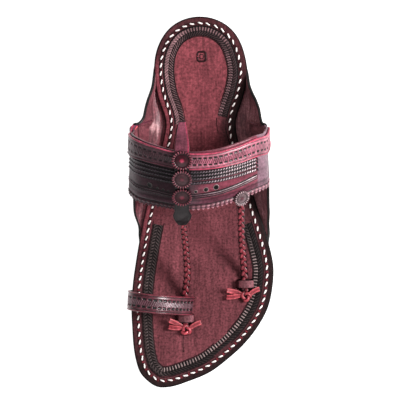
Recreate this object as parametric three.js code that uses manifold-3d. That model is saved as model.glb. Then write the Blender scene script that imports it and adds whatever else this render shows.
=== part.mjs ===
import * as THREE from "three";
import { mergeVertices } from "three/addons/utils/BufferGeometryUtils.js";
import Module from "manifold-3d";

const wasm = await Module();
wasm.setup();

// A left Kolhapuri chappal, standing empty on its sole. Sizes are in millimetres.
// Along runs from the heel end to the toes, and across is positive on the big toe's side.
const length = 275;
const ballWidth = 105;
const fit = 0.3;

// Sole: a heel lift, an outsole, a thin layer round the roots of the flaps, and the insole.
const heelLift = 3.8;
const breastFoot = 70.6;
const breastHead = 77.3;
const liftInset = 0.6;
const toeSpring = 4;
const outsoleWall = 6.3;
const insoleWall = 2;
const edgeRound = 0.9;

// Side flaps, measured from the rim of the sole and from the seam that they come out of.
const flapWall = 2;
const flapHeight = 26;
const flapFlare = 24;
const flapRoot = 14;
const flapBend = 0.62;

// Instep band, measured over the insole.
const bandWall = 2.2;
const instepHeight = 68.7;
const vampHeight = 49.5;
const instepAt = 100.4;
const bandRun = 43.4;
const bandSweep = 18;
const bandCrown = 2;
const bandSteps = 9;
const lieFit = 0.5;
const seatSink = 0.5;

// Straps and discs that lie on the band.
const borderWall = 1.3;
const borderSteps = 3;
const stripWall = 1.4;
const stripHalf = 5.4;
const ridgeRadius = 150;
const rosetteWall = 1.7;
const rosetteRadius = 7.4;
const sideRosetteRadius = 6;
const rosetteTeeth = 18;
const toothDepth = 0.45;

// Toe loop, out of the seam at the inner rim and into a slot of the insole.
const loopWidth = 14;
const loopHeight = 26;
const loopLean = 0.12;

// Braided cords with their bridges and knots.
const cordWidth = 6;
const cordHeight = 3.3;
const cordRelief = 0.13;
const braidPitch = 5.1;
const cordFlat = 0.72;
const bridgeWall = 1.6;
const bridgeHalf = 6.6;
const bridgeWidth = 6;
const knotRadius = 4.2;
const knotHeight = 3.6;
const tailWidth = 3.2;
const tailWall = 1.3;

// Outline of the sole: shares of the length and of the ball width.
const soleRows = [
  { at: 0, inner: 0, outer: 0 },
  { at: 0.02, inner: 0.176, outer: 0.176 },
  { at: 0.053, inner: 0.26, outer: 0.262 },
  { at: 0.1, inner: 0.312, outer: 0.314 },
  { at: 0.155, inner: 0.323, outer: 0.334 },
  { at: 0.215, inner: 0.299, outer: 0.306 },
  { at: 0.285, inner: 0.244, outer: 0.252 },
  { at: 0.35, inner: 0.272, outer: 0.28 },
  { at: 0.42, inner: 0.32, outer: 0.332 },
  { at: 0.5, inner: 0.372, outer: 0.393 },
  { at: 0.58, inner: 0.416, outer: 0.461 },
  { at: 0.665, inner: 0.454, outer: 0.516 },
  { at: 0.725, inner: 0.475, outer: 0.513 },
  { at: 0.785, inner: 0.484, outer: 0.479 },
  { at: 0.84, inner: 0.478, outer: 0.401 },
  { at: 0.885, inner: 0.47, outer: 0.306 },
  { at: 0.925, inner: 0.453, outer: 0.19 },
  { at: 0.96, inner: 0.421, outer: 0.064 },
  { at: 0.986, inner: 0.357, outer: -0.1 },
  { at: 1, inner: 0.266, outer: -0.266 },
];

// Side of the sole: shares of the heel's lift, of the toe spring and of the outsole's wall.
const profileRows = [
  { at: 0, heel: 1, toe: 0, body: 1 },
  { at: 0.1, heel: 1, toe: 0, body: 1 },
  { at: 0.2, heel: 0.95, toe: 0, body: 1.02 },
  { at: 0.28, heel: 0.74, toe: 0, body: 1.1 },
  { at: 0.36, heel: 0.47, toe: 0, body: 1.17 },
  { at: 0.5, heel: 0.16, toe: 0, body: 1.2 },
  { at: 0.63, heel: 0, toe: 0, body: 1.22 },
  { at: 0.7, heel: 0, toe: 0, body: 1.22 },
  { at: 0.77, heel: 0, toe: 0, body: 1.22 },
  { at: 0.84, heel: 0, toe: 0.2, body: 1.12 },
  { at: 0.9, heel: 0, toe: 0.5, body: 1 },
  { at: 1, heel: 0, toe: 1, body: 0.9 },
];

// Side flaps: shares of the flap height and of the flap flare, for both sides.
const flapRows = [
  { at: 0.115, innerRise: 0.02, innerFlare: 0.06, outerRise: 0.02, outerFlare: 0.06 },
  { at: 0.149, innerRise: 0.1, innerFlare: 0.1, outerRise: 0.1, outerFlare: 0.1 },
  { at: 0.181, innerRise: 0.27, innerFlare: 0.18, outerRise: 0.3, outerFlare: 0.2 },
  { at: 0.213, innerRise: 0.48, innerFlare: 0.32, outerRise: 0.58, outerFlare: 0.4 },
  { at: 0.235, innerRise: 0.73, innerFlare: 0.48, outerRise: 0.8, outerFlare: 0.6 },
  { at: 0.257, innerRise: 0.9, innerFlare: 0.65, outerRise: 0.94, outerFlare: 0.74 },
  { at: 0.281, innerRise: 1, innerFlare: 0.88, outerRise: 1, outerFlare: 0.84 },
  { at: 0.308, innerRise: 0.99, innerFlare: 0.98, outerRise: 1, outerFlare: 0.94 },
  { at: 0.362, innerRise: 0.96, innerFlare: 0.81, outerRise: 0.98, outerFlare: 0.84 },
  { at: 0.416, innerRise: 0.9, innerFlare: 0.67, outerRise: 0.95, outerFlare: 0.67 },
  { at: 0.446, innerRise: 0.83, innerFlare: 0.58, outerRise: 0.92, outerFlare: 0.59 },
  { at: 0.473, innerRise: 0.6, innerFlare: 0.46, outerRise: 0.87, outerFlare: 0.5 },
  { at: 0.502, innerRise: 0.35, innerFlare: 0.41, outerRise: 0.7, outerFlare: 0.4 },
  { at: 0.538, innerRise: 0.11, innerFlare: 0.3, outerRise: 0.385, outerFlare: 0.28 },
  { at: 0.575, innerRise: 0.03, innerFlare: 0.13, outerRise: 0.12, outerFlare: 0.19 },
  { at: 0.62, innerRise: 0.02, innerFlare: 0.06, outerRise: 0.02, outerFlare: 0.06 },
];

// Where the band sits inside the flaps: share of the flap's rise, and of the length at both edges.
const seatRows = [
  { rise: 0.5, innerRear: 0.268, innerFront: 0.437, outerRear: 0.277, outerFront: 0.44 },
  { rise: 1, innerRear: 0.281, innerFront: 0.453, outerRear: 0.289, outerFront: 0.455 },
];

// Arch of the band from the inner wall over the ridge to the outer wall, at its rear and front edges.
// Out is a share of the ball width, up of the height there, and back of the sweep behind the ridge.
const archRows = [
  { rearOut: 0.482, rearUp: 0.495, rearBack: 1, frontOut: 0.493, frontUp: 0.495, frontBack: 0.822 },
  { rearOut: 0.498, rearUp: 0.684, rearBack: 0.756, frontOut: 0.491, frontUp: 0.586, frontBack: 0.622 },
  { rearOut: 0.452, rearUp: 0.852, rearBack: 0.578, frontOut: 0.424, frontUp: 0.72, frontBack: 0.328 },
  { rearOut: 0.324, rearUp: 0.951, rearBack: 0.289, frontOut: 0.286, frontUp: 0.875, frontBack: 0.144 },
  { rearOut: 0.124, rearUp: 1, rearBack: 0, frontOut: 0.124, frontUp: 1, frontBack: 0 },
  { rearOut: -0.067, rearUp: 0.965, rearBack: 0.044, frontOut: -0.071, frontUp: 0.962, frontBack: 0.083 },
  { rearOut: -0.238, rearUp: 0.873, rearBack: 0.311, frontOut: -0.238, frontUp: 0.858, frontBack: 0.344 },
  { rearOut: -0.386, rearUp: 0.742, rearBack: 0.644, frontOut: -0.39, frontUp: 0.7, frontBack: 0.711 },
  { rearOut: -0.472, rearUp: 0.553, rearBack: 0.856, frontOut: -0.476, frontUp: 0.54, frontBack: 0.944 },
];

// Ends of the centre strip behind and in front of the band: shares of the length, the instep and the strip.
const tailRows = [
  { at: 0.285, up: 1.115, half: 0.48 },
  { at: 0.32, up: 1.085, half: 0.8 },
  { at: 0.35, up: 1.06, half: 1 },
];
const tipRows = [
  { at: 0.536, up: 0.728, half: 1.26 },
  { at: 0.548, up: 0.696, half: 0.85 },
  { at: 0.561, up: 0.651, half: 0.42 },
];

// Toe loop from its root in the seam to its slot: shares of the ball width, the length, the loop's height
// over the insole and the depth of the seam below it.
const loopRows = [
  { out: 0.385, at: 0.763, up: 0, down: 1 },
  { out: 0.445, at: 0.763, up: 0, down: 1 },
  { out: 0.4835, at: 0.763, up: 0, down: 1 },
  { out: 0.4925, at: 0.763, up: 0, down: 0.88 },
  { out: 0.4965, at: 0.763, up: 0, down: 0.58 },
  { out: 0.499, at: 0.763, up: 0.08, down: 0 },
  { out: 0.4985, at: 0.764, up: 0.42, down: 0 },
  { out: 0.481, at: 0.766, up: 0.74, down: 0 },
  { out: 0.432, at: 0.769, up: 0.93, down: 0 },
  { out: 0.37, at: 0.772, up: 1, down: 0 },
  { out: 0.3, at: 0.775, up: 0.96, down: 0 },
  { out: 0.222, at: 0.777, up: 0.79, down: 0 },
  { out: 0.148, at: 0.779, up: 0.53, down: 0 },
  { out: 0.088, at: 0.78, up: 0.26, down: 0 },
  { out: 0.062, at: 0.78, up: 0.12, down: 0 },
  { out: 0.058, at: 0.78, up: 0, down: 0 },
  { out: 0.057, at: 0.78, up: 0, down: 1.35 },
];
const loopSpan = [0.008, 0.985];
const slotShare = 0.9;
const rootShare = 0.3;

// Cord routes, points chosen by hand: across, along, and over the insole.
const toeRoute = [
  [12.9, 145.8, 47.2],
  [12.5, 150, 44],
  [12.2, 155, 39.8],
  [11.6, 160.5, 34.6],
  [10.9, 166.5, 29.2],
  [10.3, 173.5, 23.6],
  [9.8, 181, 18.2],
  [9.4, 188.5, 13.2],
  [9.7, 196, 8.6],
  [10.7, 203, 4.6],
  [11.5, 209, 2.2],
  [11.6, 217, 1.55],
  [11.2, 229.2, 1.55],
];
const sideRoute = [
  [-30.2, 132, 37],
  [-30.2, 138, 35.3],
  [-30.3, 145, 32.4],
  [-30.4, 152, 28.4],
  [-30.6, 159, 23.6],
  [-30.9, 166, 18.4],
  [-31.5, 173.5, 13],
  [-32.1, 181, 8],
  [-32.7, 188, 4],
  [-33.2, 194, 1.9],
  [-33.6, 204, 1.55],
];

// Bridges and knots: where they lie, and the ends of the three tails, over the insole.
const anchors = {
  toe: {
    bridge: [11.3, 225.4],
    knot: [10.2, 234],
    tails: [
      [22.8, 228.6, 6],
      [23, 234, 3.2],
      [-0.8, 228.4, 3.6],
    ],
  },
  side: {
    bridge: [-33.3, 200],
    knot: [-34, 209],
    tails: [
      [-20, 203.8, 4.8],
      [-19.6, 208.8, 2.8],
      [-44.4, 203.6, 3.6],
    ],
  },
};

// A point of the part from its across, along and height over the floor.
function place(across, along, height) {
  return new THREE.Vector3(across, along - length / 2, height);
}

function steps(from, to, count) {
  return Array.from({ length: count + 1 }, (_, i) => from + ((to - from) * i) / count);
}

// Smooth value of a table's column where its key has a value.
function read(rows, column, where, key = "at") {
  const last = rows.length - 1;
  let i = 0;
  while (i < last - 1 && where > rows[i + 1][key]) i += 1;
  const slope = (k) => {
    const before = rows[Math.max(k - 1, 0)];
    const after = rows[Math.min(k + 1, last)];
    return (after[column] - before[column]) / (after[key] - before[key]);
  };
  const low = rows[i];
  const high = rows[i + 1];
  const span = high[key] - low[key];
  const t = THREE.MathUtils.clamp((where - low[key]) / span, 0, 1);
  const rise = t * t * (3 - 2 * t);
  const start = t * (1 - t) * (1 - t) * span * slope(i);
  const end = t * t * (t - 1) * span * slope(i + 1);
  return low[column] + (high[column] - low[column]) * rise + start + end;
}

// Stations crowd at both ends of the sole, so its outline comes out round there.
const turnOf = (share) => Math.acos(1 - 2 * share) / Math.PI;
const shareOf = (turn) => (1 - Math.cos(turn * Math.PI)) / 2;
const rimRows = soleRows.map((row) => ({ ...row, turn: turnOf(row.at) }));

// A point of the sole's rim and the way out of it there, on the inner or the outer side.
function rim(side, turn, inset = 0) {
  const sign = side === "inner" ? 1 : -1;
  const reach = (t) => {
    const across = sign * ballWidth * read(rimRows, side, t, "turn");
    return new THREE.Vector2(across, length * shareOf(t));
  };
  const step = 1e-3;
  const run = reach(Math.min(turn + step, 1)).sub(reach(Math.max(turn - step, 0)));
  const out = new THREE.Vector2(run.y, -run.x).multiplyScalar(sign).normalize();
  const point = reach(turn).addScaledVector(out, -inset);
  return { point, out };
}

// Heights over the floor at a distance along the sole, layer by layer.
function underside(along) {
  const at = along / length;
  const lift = (heelLift + fit) * read(profileRows, "heel", at);
  const spring = toeSpring * read(profileRows, "toe", at);
  return Math.max(0, lift + spring);
}
const outsoleTop = (along) => underside(along) + outsoleWall * read(profileRows, "body", along / length);
const middleLow = (along) => outsoleTop(along) + fit;
const middleTop = (along) => middleLow(along) + flapWall;
const insoleLow = (along) => middleTop(along) + fit;
const footbed = (along) => insoleLow(along) + insoleWall;
const seamDepth = insoleWall + fit + flapWall / 2;
const seam = (along) => footbed(along) - seamDepth;

// Turns a closed set of faces outwards.
function closed(points, faces) {
  let volume = 0;
  for (let i = 0; i < faces.length; i += 3) {
    const [a, b, c] = [points[faces[i]], points[faces[i + 1]], points[faces[i + 2]]];
    volume += a.dot(b.clone().cross(c));
  }
  const geometry = new THREE.BufferGeometry().setFromPoints(points);
  geometry.setIndex(volume < 0 ? faces.slice().reverse() : faces);
  return geometry;
}

// A closed skin between two grids of points, joined round their four edges.
function skin(top, bottom) {
  const rows = top.length;
  const columns = top[0].length;
  const under = rows * columns;
  const faces = [];
  const quad = (a, b, c, d) => faces.push(a, b, c, a, c, d);
  const id = (r, c) => r * columns + c;
  for (let r = 0; r < rows - 1; r += 1) {
    for (let c = 0; c < columns - 1; c += 1) {
      quad(id(r, c), id(r + 1, c), id(r + 1, c + 1), id(r, c + 1));
      quad(under + id(r, c), under + id(r, c + 1), under + id(r + 1, c + 1), under + id(r + 1, c));
    }
  }
  const edge = [];
  for (let c = 0; c < columns - 1; c += 1) edge.push(id(0, c));
  for (let r = 0; r < rows - 1; r += 1) edge.push(id(r, columns - 1));
  for (let c = columns - 1; c > 0; c -= 1) edge.push(id(rows - 1, c));
  for (let r = rows - 1; r > 0; r -= 1) edge.push(id(r, 0));
  edge.forEach((a, i) => {
    const b = edge[(i + 1) % edge.length];
    quad(a, b, under + b, under + a);
  });
  return closed([...top.flat(), ...bottom.flat()], faces);
}

// A closed skin through rings of points, with a flat end at both sides.
function loft(rings) {
  const count = rings[0].length;
  const faces = [];
  for (let r = 0; r < rings.length - 1; r += 1) {
    for (let i = 0; i < count; i += 1) {
      const a = r * count + i;
      const b = r * count + ((i + 1) % count);
      faces.push(a, b, b + count, a, b + count, a + count);
    }
  }
  const last = (rings.length - 1) * count;
  for (let i = 1; i < count - 1; i += 1) faces.push(0, i + 1, i, last, last + i, last + i + 1);
  return closed(rings.flat(), faces);
}

// A surface point moved along the surface's outward normal.
function lifted(surface, u, v, lift) {
  const step = 2e-3;
  const acrossRun = surface.point(u + step, v).sub(surface.point(u - step, v));
  const alongRun = surface.point(u, v + step).sub(surface.point(u, v - step));
  const normal = acrossRun.cross(alongRun).normalize().multiplyScalar(surface.side);
  return surface.point(u, v).addScaledVector(normal, lift);
}

// A sheet of leather between two lifts over a surface.
function sheet(surface, us, vs, low, high) {
  const grid = (lift) => us.map((u) => vs.map((v) => lifted(surface, u, v, lift)));
  return skin(grid(high), grid(low));
}

function solid(geometry) {
  const plain = geometry.clone();
  plain.deleteAttribute("normal");
  plain.deleteAttribute("uv");
  const merged = mergeVertices(plain, 1e-4);
  const vertProperties = new Float32Array(merged.attributes.position.array);
  const triVerts = new Uint32Array(merged.index.array);
  return new wasm.Manifold(new wasm.Mesh({ numProp: 3, vertProperties, triVerts }));
}

function shape(made) {
  const mesh = made.getMesh();
  const geometry = new THREE.BufferGeometry();
  geometry.setAttribute("position", new THREE.BufferAttribute(mesh.vertProperties, 3));
  geometry.setIndex(new THREE.BufferAttribute(mesh.triVerts, 1));
  return geometry;
}

// A layer of the sole between two heights, with its edge drawn in at some levels.
function layer(turns, low, high, levels) {
  const rings = turns.map((turn) => {
    const sides = ["outer", "inner"].map((side) =>
      levels.map(({ level, inset }) => {
        const { point } = rim(side, turn, inset);
        const height = THREE.MathUtils.lerp(low(point.y), high(point.y), level);
        return place(point.x, point.y, height);
      }),
    );
    return [...sides[0], ...sides[1].reverse()];
  });
  return loft(rings);
}

const wholeSole = steps(0.012, 0.988, 46);
const squareEdge = [
  { level: 0, inset: 0 },
  { level: 1, inset: 0 },
];
const roundFoot = [
  { level: 0, inset: edgeRound },
  { level: 0.14, inset: edgeRound * 0.2 },
  { level: 0.4, inset: 0 },
  { level: 1, inset: 0 },
];
const roundHead = [
  { level: 0, inset: 0 },
  { level: 0.6, inset: 0 },
  { level: 1, inset: edgeRound * 0.5 },
];

// The lift's front face leans, so the levels of its last stations are pulled back to the breast.
function makeHeelLift() {
  const top = (along) => underside(along) - fit;
  const reach = (along, level) => {
    const share = along / breastHead;
    const breast = THREE.MathUtils.lerp(breastFoot, breastHead, level);
    return share * breast;
  };
  const rings = steps(0.012, turnOf(breastHead / length), 22).map((turn) => {
    const sides = ["outer", "inner"].map((side) =>
      [0, 1].map((level) => {
        const { point } = rim(side, turn, liftInset);
        const along = reach(point.y, level);
        return place(point.x, along, level * top(along));
      }),
    );
    return [...sides[0], ...sides[1].reverse()];
  });
  return loft(rings);
}

// A side flap: v runs from -1 at the end of its root, over 0 where it leaves the rim, to 1 at its top edge.
function flapSurface(side) {
  const sign = side === "inner" ? 1 : -1;
  const clear = flapWall / 2 + fit;
  const point = (u, v) => {
    const base = rim(side, turnOf(u));
    const flare = flapFlare * read(flapRows, side + "Flare", u) - clear;
    const rise = flapHeight * read(flapRows, side + "Rise", u);
    const out = v < 0 ? clear + v * (clear + flapRoot) : clear + flare * v * (2 * flapBend * (1 - v) + v);
    const spot = base.point.clone().addScaledVector(base.out, out);
    return place(spot.x, spot.y, seam(spot.y) + (v < 0 ? 0 : rise * v * v));
  };
  return { point, side: sign };
}
const flaps = { inner: flapSurface("inner"), outer: flapSurface("outer") };
const flapSpan = [flapRows[0].at, flapRows[flapRows.length - 1].at];

// The band's arch at a share of its width, from its seat in the inner flap to its seat in the outer one.
const arches = new Map();
function arch(v) {
  if (arches.has(v)) return arches.get(v);
  const inward = seatSink - (flapWall + bandWall) / 2;
  const seat = (side, row) => {
    const at = THREE.MathUtils.lerp(row[side + "Rear"], row[side + "Front"], v);
    return lifted(flaps[side], at, row.rise, inward);
  };
  const free = archRows.map((row) => {
    const across = ballWidth * THREE.MathUtils.lerp(row.rearOut, row.frontOut, v);
    const up = THREE.MathUtils.lerp(instepHeight * row.rearUp, vampHeight * row.frontUp, v);
    const back = bandSweep * THREE.MathUtils.lerp(row.rearBack, row.frontBack, v);
    const along = instepAt + bandRun * v - back;
    const crown = 4 * bandCrown * v * (1 - v) * Math.min(1, row.rearUp);
    return place(across, along, footbed(along) + up + crown);
  });
  const inner = seatRows.map((row) => seat("inner", row));
  const outer = seatRows.map((row) => seat("outer", row)).reverse();
  const curve = new THREE.CatmullRomCurve3([...inner, ...free, ...outer], false, "catmullrom", 0.5);
  arches.set(v, curve);
  return curve;
}
const archSteps = archRows.length + 2 * seatRows.length - 1;
const ridgeShare = (seatRows.length + 4) / archSteps;
const flapTopShare = (seatRows.length - 1) / archSteps;
const band = {
  point: (u, v) => arch(v).getPoint(THREE.MathUtils.clamp(u, 0, 1)),
  side: -1,
};

const bandUs = steps(0, 1, 48);
const bandVs = steps(0, 1, bandSteps);

// One hollow wall: the band, sewn into both flaps.
function makeUpper() {
  const halfFlap = flapWall / 2;
  const flapUs = steps(flapSpan[0], flapSpan[1], 26);
  const flapVs = [-1, 0, 0.25, 0.45, 0.65, 0.83, 1];
  const sides = ["inner", "outer"].map((side) => solid(sheet(flaps[side], flapUs, flapVs, -halfFlap, halfFlap)));
  const over = solid(sheet(band, bandUs, bandVs, -bandWall / 2, bandWall / 2));
  return shape(over.add(sides[0]).add(sides[1]));
}

function makeBorderStrap() {
  const low = bandWall / 2 + lieFit;
  const start = flapTopShare + 0.025;
  const us = bandUs.filter((u) => u > start && u < 1 - start);
  return sheet(band, us, bandVs.slice(0, borderSteps + 1), low, low + borderWall);
}

// The centre strip: u from one edge to the other, v from the end of its tail to its tip.
function makeStripSpine() {
  const free = (row) => {
    const along = row.at * length;
    const point = place(ballWidth * archRows[4].rearOut, along, footbed(along) + row.up * instepHeight);
    return { point, half: row.half * stripHalf };
  };
  const lying = [0.03, 0.2, 0.34, 0.5, 0.65, 0.8, 0.97].map((v) => {
    const overBorder = (borderWall + fit) * (1 - THREE.MathUtils.smoothstep(v, borderSteps / bandSteps, 0.9));
    const lift = bandWall / 2 + lieFit + overBorder + stripWall / 2;
    return { point: lifted(band, ridgeShare, v, lift), half: stripHalf };
  });
  return [...tailRows.map(free), ...lying, ...tipRows.map(free)];
}
const stripSpine = makeStripSpine();
const stripCurve = new THREE.CatmullRomCurve3(
  stripSpine.map((spot) => spot.point),
  false,
  "catmullrom",
  0.5,
);
const stripWidths = stripSpine.map((spot, i) => ({ at: i / (stripSpine.length - 1), half: spot.half }));
const strip = {
  point: (u, v) => {
    const off = u * read(stripWidths, "half", v);
    const point = stripCurve.getPoint(THREE.MathUtils.clamp(v, 0, 1));
    return point.add(new THREE.Vector3(off, 0, -(off * off) / (2 * ridgeRadius)));
  },
  side: 1,
};

function makeCentreStrip() {
  return sheet(strip, steps(-1, 1, 4), steps(0, 1, 30), -stripWall / 2, stripWall / 2);
}

// A leather disc with a pinked edge and a slightly domed face, round its own axis.
function makeRosette(radius) {
  const count = rosetteTeeth * 2;
  const ring = (size, height) =>
    steps(0, count - 1, count - 1).map((i) => {
      const turn = (i / count) * 2 * Math.PI;
      const reach = size - (i % 2) * toothDepth * (size / radius);
      return new THREE.Vector3(reach * Math.cos(turn), reach * Math.sin(turn), height);
    });
  return loft([ring(radius, 0), ring(radius, rosetteWall * 0.6), ring(radius * 0.8, rosetteWall)]);
}

// Sets a mesh on a surface point with its own Z along the surface's normal.
function seatOn(mesh, surface, u, v, lift) {
  const foot = lifted(surface, u, v, lift);
  const up = lifted(surface, u, v, lift + 1).sub(foot).normalize();
  mesh.quaternion.setFromUnitVectors(new THREE.Vector3(0, 0, 1), up);
  mesh.position.copy(foot);
}

// The toe loop: u from its root in the seam to the end in its slot, v across its width.
// Its curve holds heights over the insole.
const loopCurve = new THREE.CatmullRomCurve3(
  loopRows.map((row) => {
    const up = row.up * loopHeight - row.down * seamDepth;
    return new THREE.Vector3(row.out * ballWidth, row.at * length, up);
  }),
  false,
  "catmullrom",
  0.5,
);
const loop = {
  point: (u, v) => {
    const lean = loopLean * THREE.MathUtils.smoothstep(u, 0.1, 0.6);
    const reach = (v - 0.5) * loopWidth;
    const spot = loopCurve.getPoint(THREE.MathUtils.clamp(u, 0, 1));
    const along = spot.y + reach * Math.sqrt(1 - lean * lean);
    return place(spot.x + reach * lean, along, footbed(along) + spot.z);
  },
  side: 1,
};

function makeToeLoop() {
  return sheet(loop, steps(loopSpan[0], loopSpan[1], 38), [0, 0.5, 1], -flapWall / 2, flapWall / 2);
}

// The room that the loop's ends need in the layers of the sole, with a clearance all round.
function loopRoom(from, to) {
  const side = fit / loopWidth;
  const wide = flapWall / 2 + fit;
  return solid(sheet(loop, steps(from, to, 12), [-side, 1 + side], -wide, wide));
}

function makeMiddleSole() {
  let made = solid(layer(wholeSole, middleLow, middleTop, squareEdge));
  const margin = fit / length;
  const us = steps(flapSpan[0] - margin, flapSpan[1] + margin, 26);
  const vs = [-1 - fit / flapRoot, 0];
  for (const side of ["inner", "outer"]) {
    made = made.subtract(solid(sheet(flaps[side], us, vs, -flapWall, flapWall)));
  }
  return shape(made.subtract(loopRoom(0, rootShare)).subtract(loopRoom(slotShare, 1)));
}

function makeBridge([across, along]) {
  const rise = cordHeight * cordFlat + 2 * fit + bridgeWall / 2;
  const sunk = bridgeWall * 0.7;
  const lift = (t) => (rise + sunk) * THREE.MathUtils.smoothstep(1 - Math.abs(t), 0, 0.38) - sunk;
  const point = (u, v) => {
    const reach = along + (v - 0.5) * bridgeWidth;
    return place(across + u * bridgeHalf, reach, footbed(reach) + lift(u));
  };
  return solid(sheet({ point, side: 1 }, steps(-1, 1, 12), [0, 1], -bridgeWall / 2, bridgeWall / 2));
}

function makeInsole() {
  const made = solid(layer(wholeSole, insoleLow, footbed, roundHead));
  const bridges = [anchors.toe, anchors.side].map((anchor) => makeBridge(anchor.bridge));
  return shape(made.add(bridges[0]).add(bridges[1]).subtract(loopRoom(slotShare, 1)));
}

// A flat braid: its edges swell by turns, half a pitch apart.
function makeCord(route) {
  const curve = new THREE.CatmullRomCurve3(
    route.map(([across, along, up]) => place(across, along, footbed(along) + up)),
    false,
    "catmullrom",
    0.5,
  );
  const run = curve.getLength();
  const count = Math.round((run / braidPitch) * 4);
  const rings = steps(0, 1, count).map((share, i) => {
    const centre = curve.getPointAt(share);
    const way = curve.getTangentAt(share);
    const across = new THREE.Vector3(1, 0, 0).addScaledVector(way, -way.x).normalize();
    const up = across.clone().cross(way).normalize();
    const flat = THREE.MathUtils.lerp(1, cordFlat, THREE.MathUtils.smoothstep(share, 0.7, 0.86));
    return steps(0, 7, 7).map((k) => {
      const turn = (k / 8) * 2 * Math.PI;
      const phase = (i / 4) * 2 * Math.PI + (Math.cos(turn) > 0 ? 0 : Math.PI);
      const swell = 1 + cordRelief * (Math.sin(phase) - 0.5) * Math.abs(Math.cos(turn));
      const wide = (cordWidth / 2) * swell * Math.cos(turn);
      const tall = (cordHeight / 2) * flat * Math.sin(turn);
      return centre.clone().addScaledVector(across, wide).addScaledVector(up, tall);
    });
  });
  return loft(rings);
}

// A coil with a filled heart and three tails that stand up a little.
function makeKnot({ knot: [across, along], tails }) {
  const centre = place(across, along, footbed(along + knotRadius) + fit + knotHeight / 2);
  const tube = knotHeight / 2;
  const coil = new THREE.TorusGeometry(knotRadius - tube, tube, 6, 14);
  const heart = new THREE.SphereGeometry(knotRadius - tube, 10, 6);
  heart.scale(1, 1, tube / (knotRadius - tube));
  let made = null;
  for (const part of [coil, heart]) {
    part.translate(centre.x, centre.y, centre.z);
    made = made ? made.add(solid(part)) : solid(part);
  }
  for (const [x, y, up] of tails) {
    const end = place(x, y, footbed(y) + up);
    const way = end.clone().sub(centre).normalize();
    const flat = new THREE.Vector3(-way.y, way.x, 0).normalize();
    const thick = way.clone().cross(flat).normalize();
    const ring = (spot) =>
      [
        [-1, -1],
        [1, -1],
        [1, 1],
        [-1, 1],
      ].map(([a, b]) => {
        const corner = spot.clone().addScaledVector(flat, (a * tailWidth) / 2);
        return corner.addScaledVector(thick, (b * tailWall) / 2);
      });
    made = made.add(solid(loft([ring(centre), ring(end)])));
  }
  return shape(made);
}

const leather = {
  sole: new THREE.MeshStandardMaterial({ color: 0x3a2a2a, roughness: 0.7, metalness: 0 }),
  seam: new THREE.MeshStandardMaterial({ color: 0x4c3838, roughness: 0.75, metalness: 0 }),
  footbed: new THREE.MeshStandardMaterial({ color: 0x7d414b, roughness: 0.6, metalness: 0 }),
  upper: new THREE.MeshStandardMaterial({ color: 0x6a3442, roughness: 0.45, metalness: 0 }),
  strap: new THREE.MeshStandardMaterial({ color: 0x9a4a60, roughness: 0.45, metalness: 0 }),
  dark: new THREE.MeshStandardMaterial({ color: 0x4a2530, roughness: 0.5, metalness: 0 }),
  braid: new THREE.MeshStandardMaterial({ color: 0xa03a50, roughness: 0.55, metalness: 0 }),
};

const chappal = new THREE.Group();

function add(name, geometry, material) {
  const mesh = new THREE.Mesh(geometry, material);
  mesh.name = name;
  chappal.add(mesh);
  return mesh;
}

add("heel_lift", makeHeelLift(), leather.sole);
add("outsole", layer(wholeSole, underside, outsoleTop, roundFoot), leather.sole);
add("middle_sole", makeMiddleSole(), leather.seam);
add("insole", makeInsole(), leather.footbed);
add("upper", makeUpper(), leather.upper);
add("border_strap", makeBorderStrap(), leather.strap);
add("centre_strip", makeCentreStrip(), leather.dark);
add("toe_loop", makeToeLoop(), leather.strap);
add("toe_cord", makeCord(toeRoute), leather.braid);
add("side_cord", makeCord(sideRoute), leather.braid);
add("toe_knot", makeKnot(anchors.toe), leather.braid);
add("side_knot", makeKnot(anchors.side), leather.braid);

// Rosettes: a share of the strip or of the band, and its own size.
const onStrip = stripWall / 2 + fit;
for (const [name, v] of [
  ["rosette_rear", 0.2925],
  ["rosette_middle", 0.4705],
  ["rosette_front", 0.643],
]) {
  seatOn(add(name, makeRosette(rosetteRadius), leather.dark), strip, 0, v, onStrip);
}
const sideRosette = add("rosette_side", makeRosette(sideRosetteRadius), leather.dark);
seatOn(sideRosette, band, 0.779, 0.95, bandWall / 2 + fit);

export default chappal;
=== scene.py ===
import math

import bpy
import numpy as np
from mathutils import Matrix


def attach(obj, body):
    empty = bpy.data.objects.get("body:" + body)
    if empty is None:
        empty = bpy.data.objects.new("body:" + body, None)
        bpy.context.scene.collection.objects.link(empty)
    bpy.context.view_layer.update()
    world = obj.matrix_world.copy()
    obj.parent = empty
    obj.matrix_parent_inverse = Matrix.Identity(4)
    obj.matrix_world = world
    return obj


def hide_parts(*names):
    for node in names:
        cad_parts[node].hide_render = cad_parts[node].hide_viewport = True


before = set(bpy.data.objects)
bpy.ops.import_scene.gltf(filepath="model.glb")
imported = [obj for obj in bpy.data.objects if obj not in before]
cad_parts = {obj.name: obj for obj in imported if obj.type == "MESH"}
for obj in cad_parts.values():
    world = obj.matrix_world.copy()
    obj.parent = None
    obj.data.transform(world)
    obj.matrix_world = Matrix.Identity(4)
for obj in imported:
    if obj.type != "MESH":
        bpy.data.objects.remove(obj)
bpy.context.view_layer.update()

mm = 0.001
fit = 0.3  # clearance between neighbouring pieces, in millimetres as all sizes below

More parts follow.
